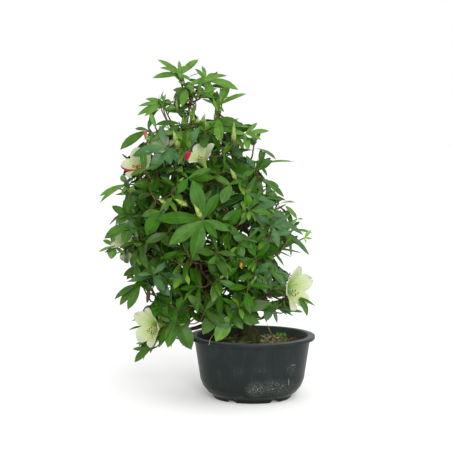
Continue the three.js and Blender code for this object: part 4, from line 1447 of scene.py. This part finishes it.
def leafFits(root, way, face, length, bend):
    # whether a leaf stays in the crown and off the pot, the flowers and the sky gaps
    sink = face * length * math.sin(bend / 2)
    tip = root + way * length * math.cos(bend / 2) - sink
    half = root + way * length * 0.55 - sink * 0.25
    for point in (half, tip):
        if not inCrown(point, crown["leafMargin"]) or not clearOfPot(point) or not clearOfBlooms(point):
            return False
        if np.any(point < boxLow - leaf["overBox"]) or np.any(point > boxHigh + leaf["overBox"]):
            return False
    seen = pixelsOf([mix(root, half, 0.5), half, mix(half, tip, 0.5), tip])
    kept = skyGaps + (trunkShows if half[1] < 0 else ())
    return not any(np.any(np.hypot(seen[:, 0] - x, seen[:, 1] - y) < r) for x, y, r in kept)


def growWhorl(shoot, draw, size=1.0):
    # leaves turned on by the golden angle, the outer ones first; one that fits nowhere is left off
    leaves = []
    tip, axis, stretch = shoot["tip"], shoot["axis"], shoot["stretch"]
    flat = np.array([1.0, 0, 0]) if abs(axis[2]) > 0.9 else np.array([0, 0, 1.0])
    across = unit(np.cross(axis, flat))
    beside = np.cross(axis, across)
    tint = leafTint(tip, draw)
    paint = seeded(int(abs(tip @ (7, 11, 13))))  # tints have their own draw, by where the spray is
    height = min(max((tip[2] - 70) / 400, 0), 1)
    least, most = leaf["count"]
    count = least + int(next(draw) * (most - least + 1))
    first = 360 * next(draw)
    for k in range(count):
        outer = 1 - k / (count - 1)
        droop = np.array([0, 0, mix(leaf["droop"][1], leaf["droop"][0], height) * outer])
        for attempt in range(leaf["tries"]):
            turn = first + leaf["golden"] * k + spread(draw, leaf["turnSpread"]) + leaf["tryTurn"] * attempt
            lean = mix(*leaf["lean"], outer) + spread(draw, leaf["leanSpread"]) - leaf["tryLean"] * attempt
            turn, lean = math.radians(turn), math.radians(lean)
            out = across * math.cos(turn) + beside * math.sin(turn)
            way = unit(axis * math.cos(lean) + out * math.sin(lean) - droop)
            long = mix(*leaf["lengths"], outer**0.7)
            length = leaf["length"] * size * long * (1 + spread(draw, leaf["lengthSpread"]))
            length *= 1 - leaf["tryLength"] * attempt
            bend = math.radians(mix(*leaf["bend"], next(draw)) * mix(0.3, 1, outer))
            root = tip - axis * (0.9 + 0.7 * stretch * outer**1.5)
            face = unit(axis - way * (axis @ way))
            roll = spread(draw, leaf["roll"])
            face = face * math.cos(roll) + np.cross(way, face) * math.sin(roll)
            if leafFits(root, way, face, length, bend):
                width = mix(*leaf["width"], next(draw)) * mix(0.72, 1, 1 - height) * mix(0.7, 1, outer)
                shade = tint if next(paint) < lightRule["sprayShare"] else leafTint(tip, paint)
                twist = spread(draw, leaf["twist"])
                leaves.append((root, way, face, length, width, bend, twist, shade))
                break
    return leaves


def growInner(shoot, draw):
    # single leaves lower on the twig, small and shaded, in lighter tints as painted light against that shade
    leaves = []
    for _ in range(leaf["inner"]):
        share = mix(0.3, 0.92, next(draw))
        root, heading = along(shoot["path"], share), headingOf(shoot["path"], share)
        turn = 2 * math.pi * next(draw)
        side = unit(np.cross(heading, (math.cos(turn), math.sin(turn), 0.3)))
        way = unit(side + heading * mix(0.2, 1, next(draw)) + np.array([0, 0, spread(draw, 0.5)]))
        face = unit(np.array([0, 0, 1.0]) - way * way[2])
        length = leaf["length"] * mix(*leaf["innerLengths"], next(draw))
        bend = math.radians(mix(*leaf["bend"], next(draw)))
        if leafFits(root, way, face, length, bend):
            tint = leaf["innerTints"][int(len(leaf["innerTints"]) * next(draw))]
            if next(draw) < leaf["innerDead"]:
                tint = "dead"
            width = mix(*leaf["width"], next(draw))
            twist = spread(draw, leaf["twist"])
            leaves.append((root, way, face, length, width, bend, twist, tint))
    return leaves


# Sprays that stand out in the photograph: where each stands in it, how deep, its leaves' tint, and their
# tips, each with its depth and the leaf's width over its length. A last word tints that leaf alone.
leadSprays = {
    "top": ((181, 75), 0, "fresh", (
        (158, 60, -14, 0.22), (160, 68, -22, 0.2), (153, 78, -10, 0.26), (198, 60, 10, 0.34),
        (179, 61, 6, 0.26), (190, 80, -12, 0.3), (186, 66, 26, 0.3), (172, 70, 30, 0.3),
    )),
    "topRight": ((205, 80), -6, "fresh", (
        (195, 69, -14, 0.32), (202, 66, 2, 0.3), (227, 76, 4, 0.22), (238, 90, -16, 0.26),
        (212, 97, -22, 0.42), (196, 83, -16, 0.3), (218, 74, 28, 0.3), (207, 88, 30, 0.34),
    )),
    "topHeart": ((192, 97), -8, "mature", (
        (193, 83, -12, 0.3), (173, 90, -20, 0.42), (179, 98, 10, 0.34), (210, 98, 6, 0.24),
        (187, 84, 8, 0.26, "deep"), (200, 88, 4, 0.24, "deep"), (184, 110, 14, 0.3, "deep"),
    )),
    "rightRosette": ((218, 106), -4, "fresh", (
        (217, 91, -14, 0.34, "deep"), (229, 84, 6, 0.34), (246, 94, -8, 0.2), (202, 99, -4, 0.18),
        (234, 98, 8, 0.12), (224, 112, -22, 0.2), (212, 92, 22, 0.3),
    )),
    "leftRosette": ((178, 113), -14, "mature", (
        (169, 103, -20, 0.3, "deep"), (163, 109, -12, 0.22), (186, 116, -22, 0.34),
        (180, 99, -22, 0.26, "deep"), (190, 104, 8, 0.3),
    )),
    "leftSpray": ((164, 102), -14, "fresh", (
        (139, 106, -16, 0.2), (146, 99, -2, 0.24), (138, 115, -22, 0.24), (145, 116, -28, 0.26),
        (162, 95, -8, 0.36), (170, 103, -20, 0.3),
    )),
    "archLeft": ((181, 124), -20, "mature", (
        (155, 125, -30, 0.3), (166, 136, -34, 0.34), (192, 132, -36, 0.4),
    )),
    "archRight": ((211, 122), -16, "mature", (
        (241, 125, -28, 0.34), (233, 132, -34, 0.4), (200, 140, -40, 0.42),
    )),
    "leftSprig": ((148, 130), -22, "mature", (
        (154, 116, -26, 0.36), (135, 129, -24, 0.34), (121, 149, -34, 0.34),
    )),
    "middleLeaves": ((166, 146), -58, "bluish", (
        (133, 156, -56, 0.3), (171, 164, -74, 0.5), (184, 165, -66, 0.32), (160, 126, -50, 0.36),
        (152, 170, -62, 0.42),
    )),
    "overFlowerLeft": ((145, 170), -70, "mature", (
        (143, 150, -74, 0.36), (160, 166, -66, 0.3), (131, 175, -66, 0.34),
    )),
    "longLeft": ((128, 184), -30, "fresh", (
        (100, 196, -30, 0.19), (100, 203, -38, 0.17), (121, 176, -10, 0.34), (122, 196, -44, 0.36),
    )),
    "frontUp": ((203, 219), -112, "strong", (
        (193, 181, -108, 0.37), (219, 194, -106, 0.36), (156, 219, -110, 0.31),
    )),
    "frontDown": ((203, 220), -112, "strong", (
        (170, 244, -118, 0.35, "mature"), (193, 257, -122, 0.38), (217, 238, -122, 0.34),
        (229, 231, -112, 0.32, "mature"),
    )),
    "frontLeft": ((160, 211), -96, "mature", (
        (147, 235, -104, 0.52, "strong"), (142, 216, -84, 0.36), (172, 198, -100, 0.4),
    )),
    "frontUpper": ((188, 178), -98, "strong", (
        (210, 169, -96, 0.3, "mature"), (178, 193, -108, 0.46), (203, 188, -96, 0.36),
        (214, 178, -94, 0.42), (181, 172, -92, 0.4),
    )),
    "rightUpper": ((229, 185), -80, "mature", (
        (222, 203, -92, 0.5), (246, 178, -70, 0.34), (213, 176, -78, 0.36),
    )),
    "rightSlope": ((263, 180), -44, "mature", ((284, 197, -36, 0.22), (279, 187, -30, 0.2, "bluish"))),
    "rightArm": ((252, 210), -62, "bluish", (
        (276, 203, -50, 0.36), (262, 226, -74, 0.42), (233, 207, -74, 0.42), (286, 216, -40, 0.26),
    )),
    "rightWhorl": ((260, 165), -14, "mature", (
        (261, 149, -10, 0.3), (294, 162, -22, 0.08, "fresh"), (251, 161, -20, 0.3, "fresh"),
        (267, 176, -26, 0.24), (271, 158, 6, 0.2),
    )),
    "rightTop": ((245, 134), -10, "fresh", (
        (269, 131, -8, 0.22), (257, 123, 0, 0.24), (261, 140, -24, 0.26), (248, 150, -34, 0.3),
        (232, 134, -30, 0.34),
    )),
    "rightLong": ((287, 232), -20, "bluish", (
        (309, 255, -26, 0.16), (300, 244, -6, 0.18), (275, 222, -40, 0.34), (291, 257, -30, 0.12),
    )),
    "rightSprig": ((297, 219), -2, "fresh", (
        (285, 206, -2, 0.3), (303, 219, 2, 0.3), (291, 211, 4, 0.4), (290, 225, -10, 0.3),
    )),
    "rightTip": ((304, 238), -4, "young", (
        (311, 230, -4, 0.34), (312, 239, -2, 0.34), (306, 243, -8, 0.4),
    )),
    "rightNarrow": ((270, 248), -34, "mature", (
        (301, 253, -24, 0.07, "bluish"), (292, 251, -34, 0.13), (291, 257, -30, 0.08),
        (284, 266, -36, 0.12), (287, 237, -26, 0.13, "deep"), (270, 262, -48, 0.4),
    )),
    "rightStreak": ((271, 218), -34, "bluish", (
        (297, 227, -24, 0.12), (303, 235, -26, 0.2), (292, 242, -38, 0.24, "mature"),
    )),
    "byFlower": ((263, 261), -58, "bluish", (
        (287, 277, -66, 0.18), (288, 288, -70, 0.2, "mature"), (271, 290, -70, 0.24, "deep"),
    )),
    "overFlowerRight": ((272, 272), -64, "bluish", (
        (293, 296, -78, 0.16), (287, 274, -70, 0.2), (264, 283, -70, 0.46), (256, 272, -66, 0.4),
    )),
    "underFlower": ((298, 297), -50, "mature", ((307, 316, -78, 0.26), (315, 306, -70, 0.13))),
    "rightFoot": ((271, 303), -56, "bluish", (
        (287, 315, -60, 0.18), (293, 316, -52, 0.14), (277, 323, -66, 0.2), (266, 321, -74, 0.42),
        (258, 306, -66, 0.36),
    )),
    "footFront": ((232, 314), -66, "mature", (
        (216, 341, -74, 0.46, "fresh"), (259, 323, -72, 0.42), (224, 304, -60, 0.4), (246, 303, -62, 0.4),
        (243, 329, -76, 0.4),
    )),
    "footMiddle": ((218, 308), -68, "mature", (
        (203, 334, -76, 0.44), (214, 291, -78, 0.5), (198, 312, -70, 0.36),
    )),
    "footLeft": ((176, 318), -58, "mature", (
        (191, 349, -64, 0.46), (168, 347, -66, 0.42), (159, 347, -58, 0.3), (187, 300, -60, 0.44),
        (160, 308, -52, 0.4),
    )),
    "lowLeft": ((141, 283), -34, "mature", (
        (128, 309, -42, 0.32), (115, 299, -32, 0.24), (120, 305, -26, 0.28), (140, 263, -40, 0.56),
        (152, 290, -50, 0.46),
    )),
    "leftTip": ((114, 246), -26, "fresh", (
        (99, 252, -26, 0.2), (103, 240, -22, 0.38), (112, 234, -32, 0.34), (111, 259, -36, 0.66),
        (126, 256, -30, 0.22),
    )),
    "leftShoulder": ((132, 222), -50, "mature", (
        (105, 238, -50, 0.32), (112, 206, -34, 0.3), (124, 243, -62, 0.5), (124, 202, -36, 0.4),
    )),
    "yellowLeaf": ((241, 262), -104, "yellow", ((242, 269, -108, 0.5), (236, 266, -104, 0.3, "dead"))),
    "deadLeft": ((150, 288), -40, "dead", ((147, 303, -42, 0.26), (146, 295, -38, 0.2))),
    "deadFoot": ((172, 331), -58, "dead", ((174, 341, -60, 0.42),)),
    "darkUpright": ((160, 306), -54, "deep", (
        (157, 296, -54, 0.26), (162, 295, -52, 0.24), (154, 301, -50, 0.3),
    )),
    "hangTip": ((151, 349), -26, "mature", (
        (135, 362, -30, 0.44), (133, 349, -20, 0.24), (141, 344, -12, 0.3),
    )),
}
# where two of them leave from, behind the flowers
leadRoots = {"hangTip": (163, 327, -31), "underFlower": (281, 289, -44)}
spray = {
    "heart": (20, -30),  # what it grows from lies behind the crown's middle and lower down
    "inward": 24,  # how far behind a spray its twig looks for growth to leave from
    "knee": 16,
    "kneeMost": 0.4,
    "rise": 0.5,
    "sag": 3,
    "bend": (14, 46),
    "twist": 0.3,
    "longer": 1.04,  # a bent leaf is longer than the way to its tip
}


def growLead(leaves, twigs, nearby):
    # each stands on a twig of its own from the nearest growth behind it
    for number, (name, (at, depth, tint, tips)) in enumerate(leadSprays.items()):
        root = seenAt(*at, depth)
        towards = np.mean([unit(seenAt(*row[:3]) - root) for row in tips], axis=0)
        inward = unit(np.array([crownAt(root[2])[0], *spray["heart"]]) + np.array([0, 0, root[2]]) - root)
        goal = root + inward * spray["inward"]
        far = [np.linalg.norm(point - goal) + 0.5 * np.linalg.norm(point - root) for point in nearby]
        anchor = nearby[int(np.argmin(far))]
        if name in leadRoots:
            anchor = seenAt(*leadRoots[name])
        axis = unit(unit(root - anchor) + np.array([0, 0, spray["rise"]]) + 0.4 * towards)
        knee = root - axis * min(spray["knee"], spray["kneeMost"] * np.linalg.norm(root - anchor))
        middle = mix(anchor, knee, 0.5) - np.array([0, 0, spray["sag"]])
        twigs.append((pathThrough([anchor, middle, knee, root], 25), twig["radii"]))
        draw = seeded(500 + number)
        for x, y, d, width, *own in tips:
            tip = seenAt(x, y, d)
            way = unit(tip - root)
            face = unit(axis * 0.35 - lookWay * 0.8 + np.array([spread(draw, 0.7), 0, 0.45]))
            face = unit(face - way * (face @ way))
            length = np.linalg.norm(tip - root) * spray["longer"]
            bend = math.radians(mix(*spray["bend"], next(draw)))
            lifted = unit(way + face * math.tan(bend / 2))
            upper = unit(face - lifted * (face @ lifted))
            twist = spread(draw, spray["twist"])
            leaves.append((root, lifted, upper, length, width, bend, twist, own[0] if own else tint))


def leafShapes(leaves):
    # every leaf at once: rows along its rib, columns across its blade, the middle ones its rib
    rows, columns = np.array(leaf["rows"]), np.array(leaf["columns"])
    root, way, face = (np.array([entry[i] for entry in leaves]) for i in range(3))
    length, width, bend, twist = (np.array([entry[i] for entry in leaves]) for i in range(3, 7))
    draw = seeded(9)
    fold = np.array([mix(*leaf["fold"], next(draw)) for _ in leaves])
    side = np.cross(way, face)
    points = np.zeros((len(leaves), len(rows), len(columns), 3))
    middle = root.copy()
    for i, row in enumerate(rows):
        if i:
            step = row - rows[i - 1]
            angle = (bend * (row + rows[i - 1]) / 2)[:, None]
            middle = middle + (way * np.cos(angle) - face * np.sin(angle)) * (length * step)[:, None]
        angle = (bend * row)[:, None]
        upper = face * np.cos(angle) + way * np.sin(angle)
        turn = (twist * row)[:, None]
        across = side * np.cos(turn) + upper * np.sin(turn)
        upper = upper * np.cos(turn) - side * np.sin(turn)
        # broadest a little past the middle, with a thin stalk and a fine point
        wide = math.sin(math.pi * row**1.16) ** 0.88 if 0 < row < 1 else 0
        half = length * width / 2 * max(wide, 0.03 if row < 0.5 else 0.004)
        for j, column in enumerate(columns):
            rib = abs(column) < 0.1
            reach = np.sign(column) * np.minimum(half * 0.6, leaf["rib"]) if rib else column * half
            lift = half * 0 if rib else half * abs(column) * fold - half * 0.1 * column * column
            points[:, i, j] = middle + across * np.asarray(reach)[:, None] + upper * lift[:, None]
    each = len(rows) * len(columns)
    faces, ribs = [], []
    for i in range(len(rows) - 1):
        for j in range(len(columns) - 1):
            a = i * len(columns) + j
            faces.append([a, a + 1, a + 1 + len(columns), a + len(columns)])
            ribs.append(j == len(columns) // 2 - 1)
    return points.reshape(len(leaves), each, 3), faces, ribs


def makeFoliage():
    leaves, twigs, buds = {plan["name"]: [] for plan in plans}, [], []
    nearby = []
    for number, plan in enumerate(plans):
        start, middle = plan["start"], plan["middle"]
        elbow = start + plan["along"] * np.linalg.norm(middle - start) * 0.5
        stem = pathBent(start, elbow, middle)
        twigs.append((stem, (plan["width"], twig["stemTip"])))
        shoots = planShoots(plan, stem, seeded(number + 1))
        for shoot in shoots:
            shoot["path"] = shootPath(shoot)
        finer = planFiner(plan, stem, shoots, seeded(300 + number))
        kept = {}
        # the finer ones come first, so that each shoot knows what it carries
        for k, shoot in reversed(list(enumerate(shoots + finer))):
            draw = seeded(100 * (number + 1) + k)
            shoot["path"] = shootPath(shoot)
            isFine = k >= len(shoots)
            whorl = growWhorl(shoot, draw, leaf["fine"] if isFine else 1.0)
            if len(whorl) < leaf["least"] and k not in kept:
                continue
            reach = kept.get(k, 0)
            if len(whorl) < leaf["least"]:
                whorl = []
            else:
                bare = min(np.linalg.norm(entry[0] - shoot["tip"]) for entry in whorl)
                reach = max(reach, 1 - max(bare - 2, 0) / shoot["path"]["length"])
            if reach < 1:  # it ends at its topmost leaf, or where its last finer one leaves it
                shares = np.linspace(0, reach + 0.02, 12)
                shoot["path"] = measured(np.array([along(shoot["path"], s) for s in shares]))
            kept.setdefault(k, 1)
            if isFine:
                kept[shoot["parent"]] = max(shoot["share"], kept.get(shoot["parent"], 0))
            if not plan["name"].startswith("top"):
                whorl += growInner(shoot, draw)
            leaves[plan["name"]] += whorl
            twigs.append((shoot["path"], twig["fineRadii"] if isFine else twig["radii"]))
            if next(draw) < twig["budChance"] and len(whorl) > 4 and reach == 1:
                buds.append((shoot["tip"], shoot["axis"], mix(*twig["budLengths"], next(draw)), "green"))
        grown = [shoot for k, shoot in enumerate(shoots) if k in kept]
        nearby += [along(shoot["path"], s) for shoot in grown for s in (0.3, 0.6)] + [middle]
    placed = []
    growLead(placed, twigs, nearby)
    for entry in placed:
        home = int(np.argmin(np.linalg.norm(middles - entry[0], axis=1)))
        leaves[plans[home]["name"]].append(entry)
    return leaves, twigs, buds


def leafMaterials():
    # satin leaves: a thin wax skin over green, so a soft pale sheen on each blade
    made = {}
    for tint, (dark, light, rib, sheen) in leafTints.items():
        blade, tree, shader = newMaterial("waxy leaf " + tint, light, 0.38, Specular_IOR_Level=sheen)
        mottle(tree, shader, (dark, light), 12, (0.38, 0.62), bump=0.2, bumpGrain=2.2)
        vein, tree, shader = newMaterial("leaf rib " + tint, rib, 0.5, Specular_IOR_Level=sheen)
        mottle(tree, shader, (light, rib), 5)
        made[tint] = (blade, vein)
    return made


def makeLeaves(leaves):
    tints = leafMaterials()
    names = list(tints)
    materials = [material for name in names for material in tints[name]]
    zones = {"top": ("top", "upper"), "middle": ("mid",), "low": ("low",), "foot": ("foot", "hanging")}
    total = 0
    for zone, starts in zones.items():
        massNames = [plan["name"] for plan in plans if plan["name"].split("_")[0] in starts]
        entries = [entry for name in massNames for entry in leaves[name]]
        total += len(entries)
        points, faces, ribs = leafShapes(entries)
        each = points.shape[1]
        grid = np.array(faces)[None] + (np.arange(len(entries)) * each)[:, None, None]
        slots = [2 * names.index(entry[7]) + int(rib) for entry in entries for rib in ribs]
        addPiece(
            "leaves_" + zone,
            points.reshape(-1, 3),
            grid.reshape(-1, 4).tolist(),
            materials,
            "foliage",
            slots,
            replaces=["foliage_" + name for name in massNames],
        )
    print("leaves made:", total)


def makeTwigs(twigs):
    # this year's bark is smooth, with a slight gloss and hardly any relief
    wood, tree, shader = newMaterial("smooth young twig bark", "#685038", 0.7, Specular_IOR_Level=0.2)
    mottle(tree, shader, ("#3c2b1b", "#685038"), 5, (0.35, 0.65), bump=0.1, bumpGrain=1)
    store = newStore()
    for path, (thick, thin) in twigs:
        count = max(4, int(path["length"] / 6))
        shares = np.linspace(0, 1, count)
        putIn(store, *tubeShape([along(path, s) for s in shares], np.linspace(thick, thin, count), 6))
    finishPiece("twigs", store, [wood], "branch")


leaves, twigs, buds = makeFoliage()
makeLeaves(leaves)
makeTwigs(twigs)
print("twigs made:", len(twigs))

# Open flowers: five broad petals out of one tube, cream-white with a yellow-green throat.
bloom = {
    "petals": 5,
    "reach": ((0, 2.2), (0.16, 3), (0.34, 6), (0.5, 11.5), (0.72, 20.5), (0.9, 27.5), (1, 30)),
    "rise": ((0, -19), (0.16, -10), (0.34, -1), (0.5, 5), (0.72, 11.5), (0.9, 15), (1, 15.5)),
    "half": ((0, 1.7), (0.16, 2.3), (0.34, 4.8), (0.5, 9.4), (0.66, 12.6), (0.79, 11.6), (0.91, 7), (1, 0.8)),
    "rows": 17,
    "columns": 14,
    "opensAt": 0.3,  # how far along a petal leaves the tube
    "stamens": 6,
    "stamenFoot": 12,
    "stamenLengths": (17, 22),
    "stamenLean": (2.5, 5),
    "pistilLength": 26,
    "filament": (0.5, 0.38),
    "anther": (0.3, 0.85, 1.0, 0.85, 0.3),
    "stigma": (0.3, 0.7, 0.8, 0.7, 0.3),
    "stalk": (2.2, 1.8, 1.3, 1.2, 1.2),
    "tints": ("#76943a", "#88a052", "#97a86d", "#9fac7c", "#a5af88", "#abb295"),  # from the throat out
    "tintStart": 0.2,  # where the steps from tint to tint start along it, and how long each is
    "tintStep": 0.12,
    "crimson": "#9c1838",
    "crimsonFrom": (0.68, 0.4),  # how far out a red tip and a red edge start
    "freckle": "#84834c",
    "freckleChance": 0.05,
}
crimsonSlot = len(bloom["tints"])
freckleSlot = crimsonSlot + 1
antherSlot = crimsonSlot + 2
filamentSlot = crimsonSlot + 3


def flowerMaterials():
    # thin satin petals: nearly matt and finely crinkled, each face with a tint of its own
    made = []
    for i, tint in enumerate((*bloom["tints"], bloom["crimson"], bloom["freckle"])):
        petal, tree, shader = newMaterial("satin petal %d" % i, tint, 0.55, Specular_IOR_Level=0.25)
        place = addNode(tree, "ShaderNodeTexCoord", {}).outputs["Object"]
        crinkle = addNode(
            tree, "ShaderNodeTexNoise", {"Vector": place, "Scale": 1 / (2.5 * mm), "Detail": 2}
        ).outputs["Fac"]
        lift = addNode(tree, "ShaderNodeBump", {"Height": crinkle, "Distance": 0.2 * mm})
        tree.links.new(lift.outputs["Normal"], shader.inputs["Normal"])
        made.append(petal)
    # pollen makes the anthers dull, and the filaments are smooth and pale
    anther, tree, shader = newMaterial("dusty anther brown", "#6b3b22", 0.8)
    mottle(tree, shader, ("#4f2a18", "#83502f"), 1.5)
    filament, tree, shader = newMaterial("pale filament green", "#c9cf8c", 0.5)
    mottle(tree, shader, ("#bcc37c", "#d6da9f"), 3)
    return made + [anther, filament]


def petalTint(v, place, petal, column, red, edgeSide, draw):
    # paler from the throat out; crimson at the tip or one edge of a red petal; a few freckles
    u = abs(place)
    tone = v + 0.14 * u - 0.04 + spread(draw, 0.05) + 0.07 * math.sin(2.6 * column + petal)
    slot = int(np.clip((tone - bloom["tintStart"]) / bloom["tintStep"], 0, len(bloom["tints"]) - 1))
    tipFrom, edgeFrom = bloom["crimsonFrom"]
    tinged = place * edgeSide > 0.5 and v > edgeFrom if edgeSide else v > tipFrom
    lowShade = edgeSide and 0.34 < v < 0.56 and u < 0.5 and next(draw) < 0.55
    if red and (tinged or lowShade):
        return crimsonSlot
    if v > 0.35 and v < 0.7 and u < 0.5 and next(draw) < bloom["freckleChance"]:
        return freckleSlot
    return slot


def growPetal(store, throat, axis, out, size, petal, red, edgeSide, draw):
    rows, columns = bloom["rows"], bloom["columns"]
    side = np.cross(axis, out)
    phase, wave = 6 * next(draw), 0.8 + 0.8 * next(draw)
    long = 1 + spread(draw, 0.14)
    points, faces, slots = [], [], []
    for i in range(rows):
        v = i / (rows - 1)
        reach, rise, half = (between(bloom[key], v) for key in ("reach", "rise", "half"))
        opened = max(0, (v - bloom["opensAt"]) / (1 - bloom["opensAt"]))
        for j in range(columns + 1):
            u = 2 * j / columns - 1
            ruffle = 1.7 * wave * opened * abs(u) ** 1.5 * math.sin(9 * v + phase + 3 * u)
            cup = 1.6 * opened * u * u - 0.8 * opened * (1 - abs(u)) + 0.35 * opened * ((petal % 2) - 0.5)
            edge = half * u * (1 + 0.05 * opened * math.sin(9 * v + phase))
            far = reach * (1 + (long - 1) * opened) - 0.1 * opened * abs(edge)
            points.append(throat + (out * far + side * edge + axis * (rise + ruffle + cup)) * size)
    wide = columns + 1
    for i in range(rows - 1):
        for j in range(columns):
            a = i * wide + j
            faces.append([a, a + 1, a + 1 + wide, a + wide])
            v, place = (i + 0.5) / (rows - 1), (j + 0.5) / columns * 2 - 1
            slots.append(petalTint(v, place, petal, j, red, edgeSide, draw))
    putIn(store, points, faces, slots)


def growStamens(store, throat, axis, across, beside, size, draw):
    # the last one is the pistil, longer and straight
    sag = np.array([0, 0, -1.0])
    base = throat - axis * bloom["stamenFoot"] * size
    for k in range(bloom["stamens"] + 1):
        pistil = k == bloom["stamens"]
        turn = 2 * math.pi * (k + 0.5 * next(draw)) / bloom["stamens"]
        lean = 0 if pistil else mix(*bloom["stamenLean"], next(draw))
        out = across * math.cos(turn) + beside * math.sin(turn)
        long = (bloom["pistilLength"] if pistil else mix(*bloom["stamenLengths"], next(draw))) * size
        line = []
        for t in np.linspace(0, 1, 8):
            bow = sag * (2 * math.sin(math.pi * t) + 5 * t * t) * size
            line.append(base + axis * long * t + out * lean * t * size + bow)
        putIn(store, *tubeShape(line, np.linspace(*bloom["filament"], 8), 5), filamentSlot)
        grain = [line[-1] + out * s for s in np.linspace(-1.3, 1.3, 5)]
        putIn(store, *tubeShape(grain, bloom["stigma" if pistil else "anther"], 6), antherSlot)


def makeFlowers():
    materials = flowerMaterials()
    store = newStore()
    for number, (at, depth, facing, turn, size, crimson) in enumerate(flowers):
        draw = seeded(800 + number)
        throat = seenAt(*at, depth)
        axis = unit(np.array(facing, float))
        across = unit(np.cross(axis, (0, 0, 1)))
        beside = np.cross(axis, across)
        turns = [2 * math.pi * (petal + turn) / bloom["petals"] for petal in range(bloom["petals"])]
        ways = [across * math.cos(middle) + beside * math.sin(middle) for middle in turns]
        # the petal that points most to the crimson side is the red one
        towards, edgeSide = crimson or ((0, 0, 0), 0)
        red = int(np.argmax([way @ np.array(towards, float) for way in ways])) if crimson else -1
        for petal, out in enumerate(ways):
            growPetal(store, throat, axis, out, size, petal, petal == red, edgeSide, draw)
        growStamens(store, throat, axis, across, beside, size, draw)
        stalk = [throat - axis * (15 + 4 * t) * size - np.array([0, 0, 1.2 * t]) for t in range(5)]
        putIn(store, *tubeShape(stalk, bloom["stalk"], 7), 1)
    finishPiece("flowers", store, materials, "foliage")


makeFlowers()
print("flowers made")

# Flower buds: pointed spindles in overlapping scales, green above and brown at their foot.
bud = {
    "outline": ((0, 0.34), (0.1, 0.66), (0.3, 1), (0.5, 0.98), (0.75, 0.62), (0.92, 0.24), (1, 0.04)),
    "girth": 0.3,  # over its length
    "leadGirth": 1.25,  # against what is measured in the photograph
    "leadTip": 4,  # how much nearer the tip is than the foot
    "rings": 15,
    "sides": 10,
    "scaleRows": 4.5,
    "scaleSwell": 0.16,  # of its radius, as is the next one
    "scaleTurn": 0.1,
    "scaleEdge": 0.72,  # how far along a scale its edge starts
    "footRings": 3,  # rings that count as its foot, and the ring that red starts after
    "redFrom": 7,
    "dryAt": (0.75, 0.45, 0.07),  # how often a face is brown at the foot, on a scale's edge and elsewhere
}
leadBuds = (  # foot and tip in the photograph, depth, girth, kind
    ((178, 112), (176, 98), -16, 0.2, "green"),
    ((192, 96), (192, 80), -12, 0.2, "green"),
    ((197, 98), (201, 88), -14, 0.2, "green"),
    ((197, 128), (190, 111), -26, 0.2, "green"),
    ((200, 129), (205, 114), -30, 0.26, "green"),
    ((196, 127), (198, 116), -34, 0.24, "green"),
    ((179, 150), (173, 130), -70, 0.22, "green"),
    ((150, 143), (143, 129), -48, 0.24, "red"),
    ((233, 146), (234, 121), -40, 0.17, "green"),
    ((202, 219), (194, 204), -118, 0.24, "green"),
    ((242, 221), (245, 202), -74, 0.24, "green"),
    ((236, 180), (230, 168), -82, 0.26, "green"),
    ((167, 204), (158, 199), -96, 0.3, "green"),
    ((188, 206), (175, 199), -104, 0.28, "green"),
    ((258, 164), (263, 157), -18, 0.3, "red"),
    ((218, 106), (221, 97), -8, 0.26, "green"),
)


def makeBuds(buds):
    # downy scales are soft and nearly matt, dry ones duller, and two buds already show a red tip
    green, tree, shader = newMaterial("downy bud scale green", "#7a923e", 0.6)
    mottle(tree, shader, ("#587528", "#7d9640"), 4, bump=0.1, bumpGrain=1)
    brown, tree, shader = newMaterial("dry bud scale brown", "#7e5f31", 0.75)
    mottle(tree, shader, ("#46371c", "#6f5a2c"), 3)
    red, tree, shader = newMaterial("bud tip red", "#a3293f", 0.6)
    mottle(tree, shader, ("#8c1f38", "#b9475a"), 3)
    store = newStore()
    rings, sides, rows = bud["rings"], bud["sides"], bud["scaleRows"]
    shares = np.linspace(0, 1, rings)
    every = [(foot, axis, length, bud["girth"], kind) for foot, axis, length, kind in buds]
    for low, high, depth, girth, kind in leadBuds:
        foot, tip = seenAt(*low, depth), seenAt(*high, depth - bud["leadTip"])
        length = np.linalg.norm(tip - foot)
        every.append((foot, unit(tip - foot), length, girth * bud["leadGirth"], kind))
    for number, (foot, axis, length, girth, kind) in enumerate(every):
        draw = seeded(900 + number)
        radii = [length * girth / 2 * between(bud["outline"], s) for s in shares]
        line = [foot + axis * length * s for s in shares]

        def scales(point, turn, ring, radii=radii, phase=number):
            # each scale swells towards its tip and ends in a step, turned against the row below
            row = rows * ring / rings
            around = math.cos(3 * turn + 3.14 * int(row) + phase)
            swell = bud["scaleSwell"]
            return radii[ring] * (swell * (row % 1) - swell / 2 + bud["scaleTurn"] * around)

        points, faces = tubeShape(line, radii, sides, scales)
        slots = []
        for i in range(rings - 1):
            atFoot, atEdge, elsewhere = bud["dryAt"]
            onEdge = (rows * i / rings) % 1 > bud["scaleEdge"]
            share = atFoot if i < bud["footRings"] else atEdge if onEdge else elsewhere
            for _ in range(sides):
                redTip = kind == "red" and i > bud["redFrom"]
                slots.append(1 if next(draw) < share else 2 if redTip else 0)
        putIn(store, points, faces, slots + [1, 0])
    finishPiece("buds", store, [green, brown, red], "foliage")


makeBuds(buds)
print("buds made:", len(buds) + len(leadBuds))
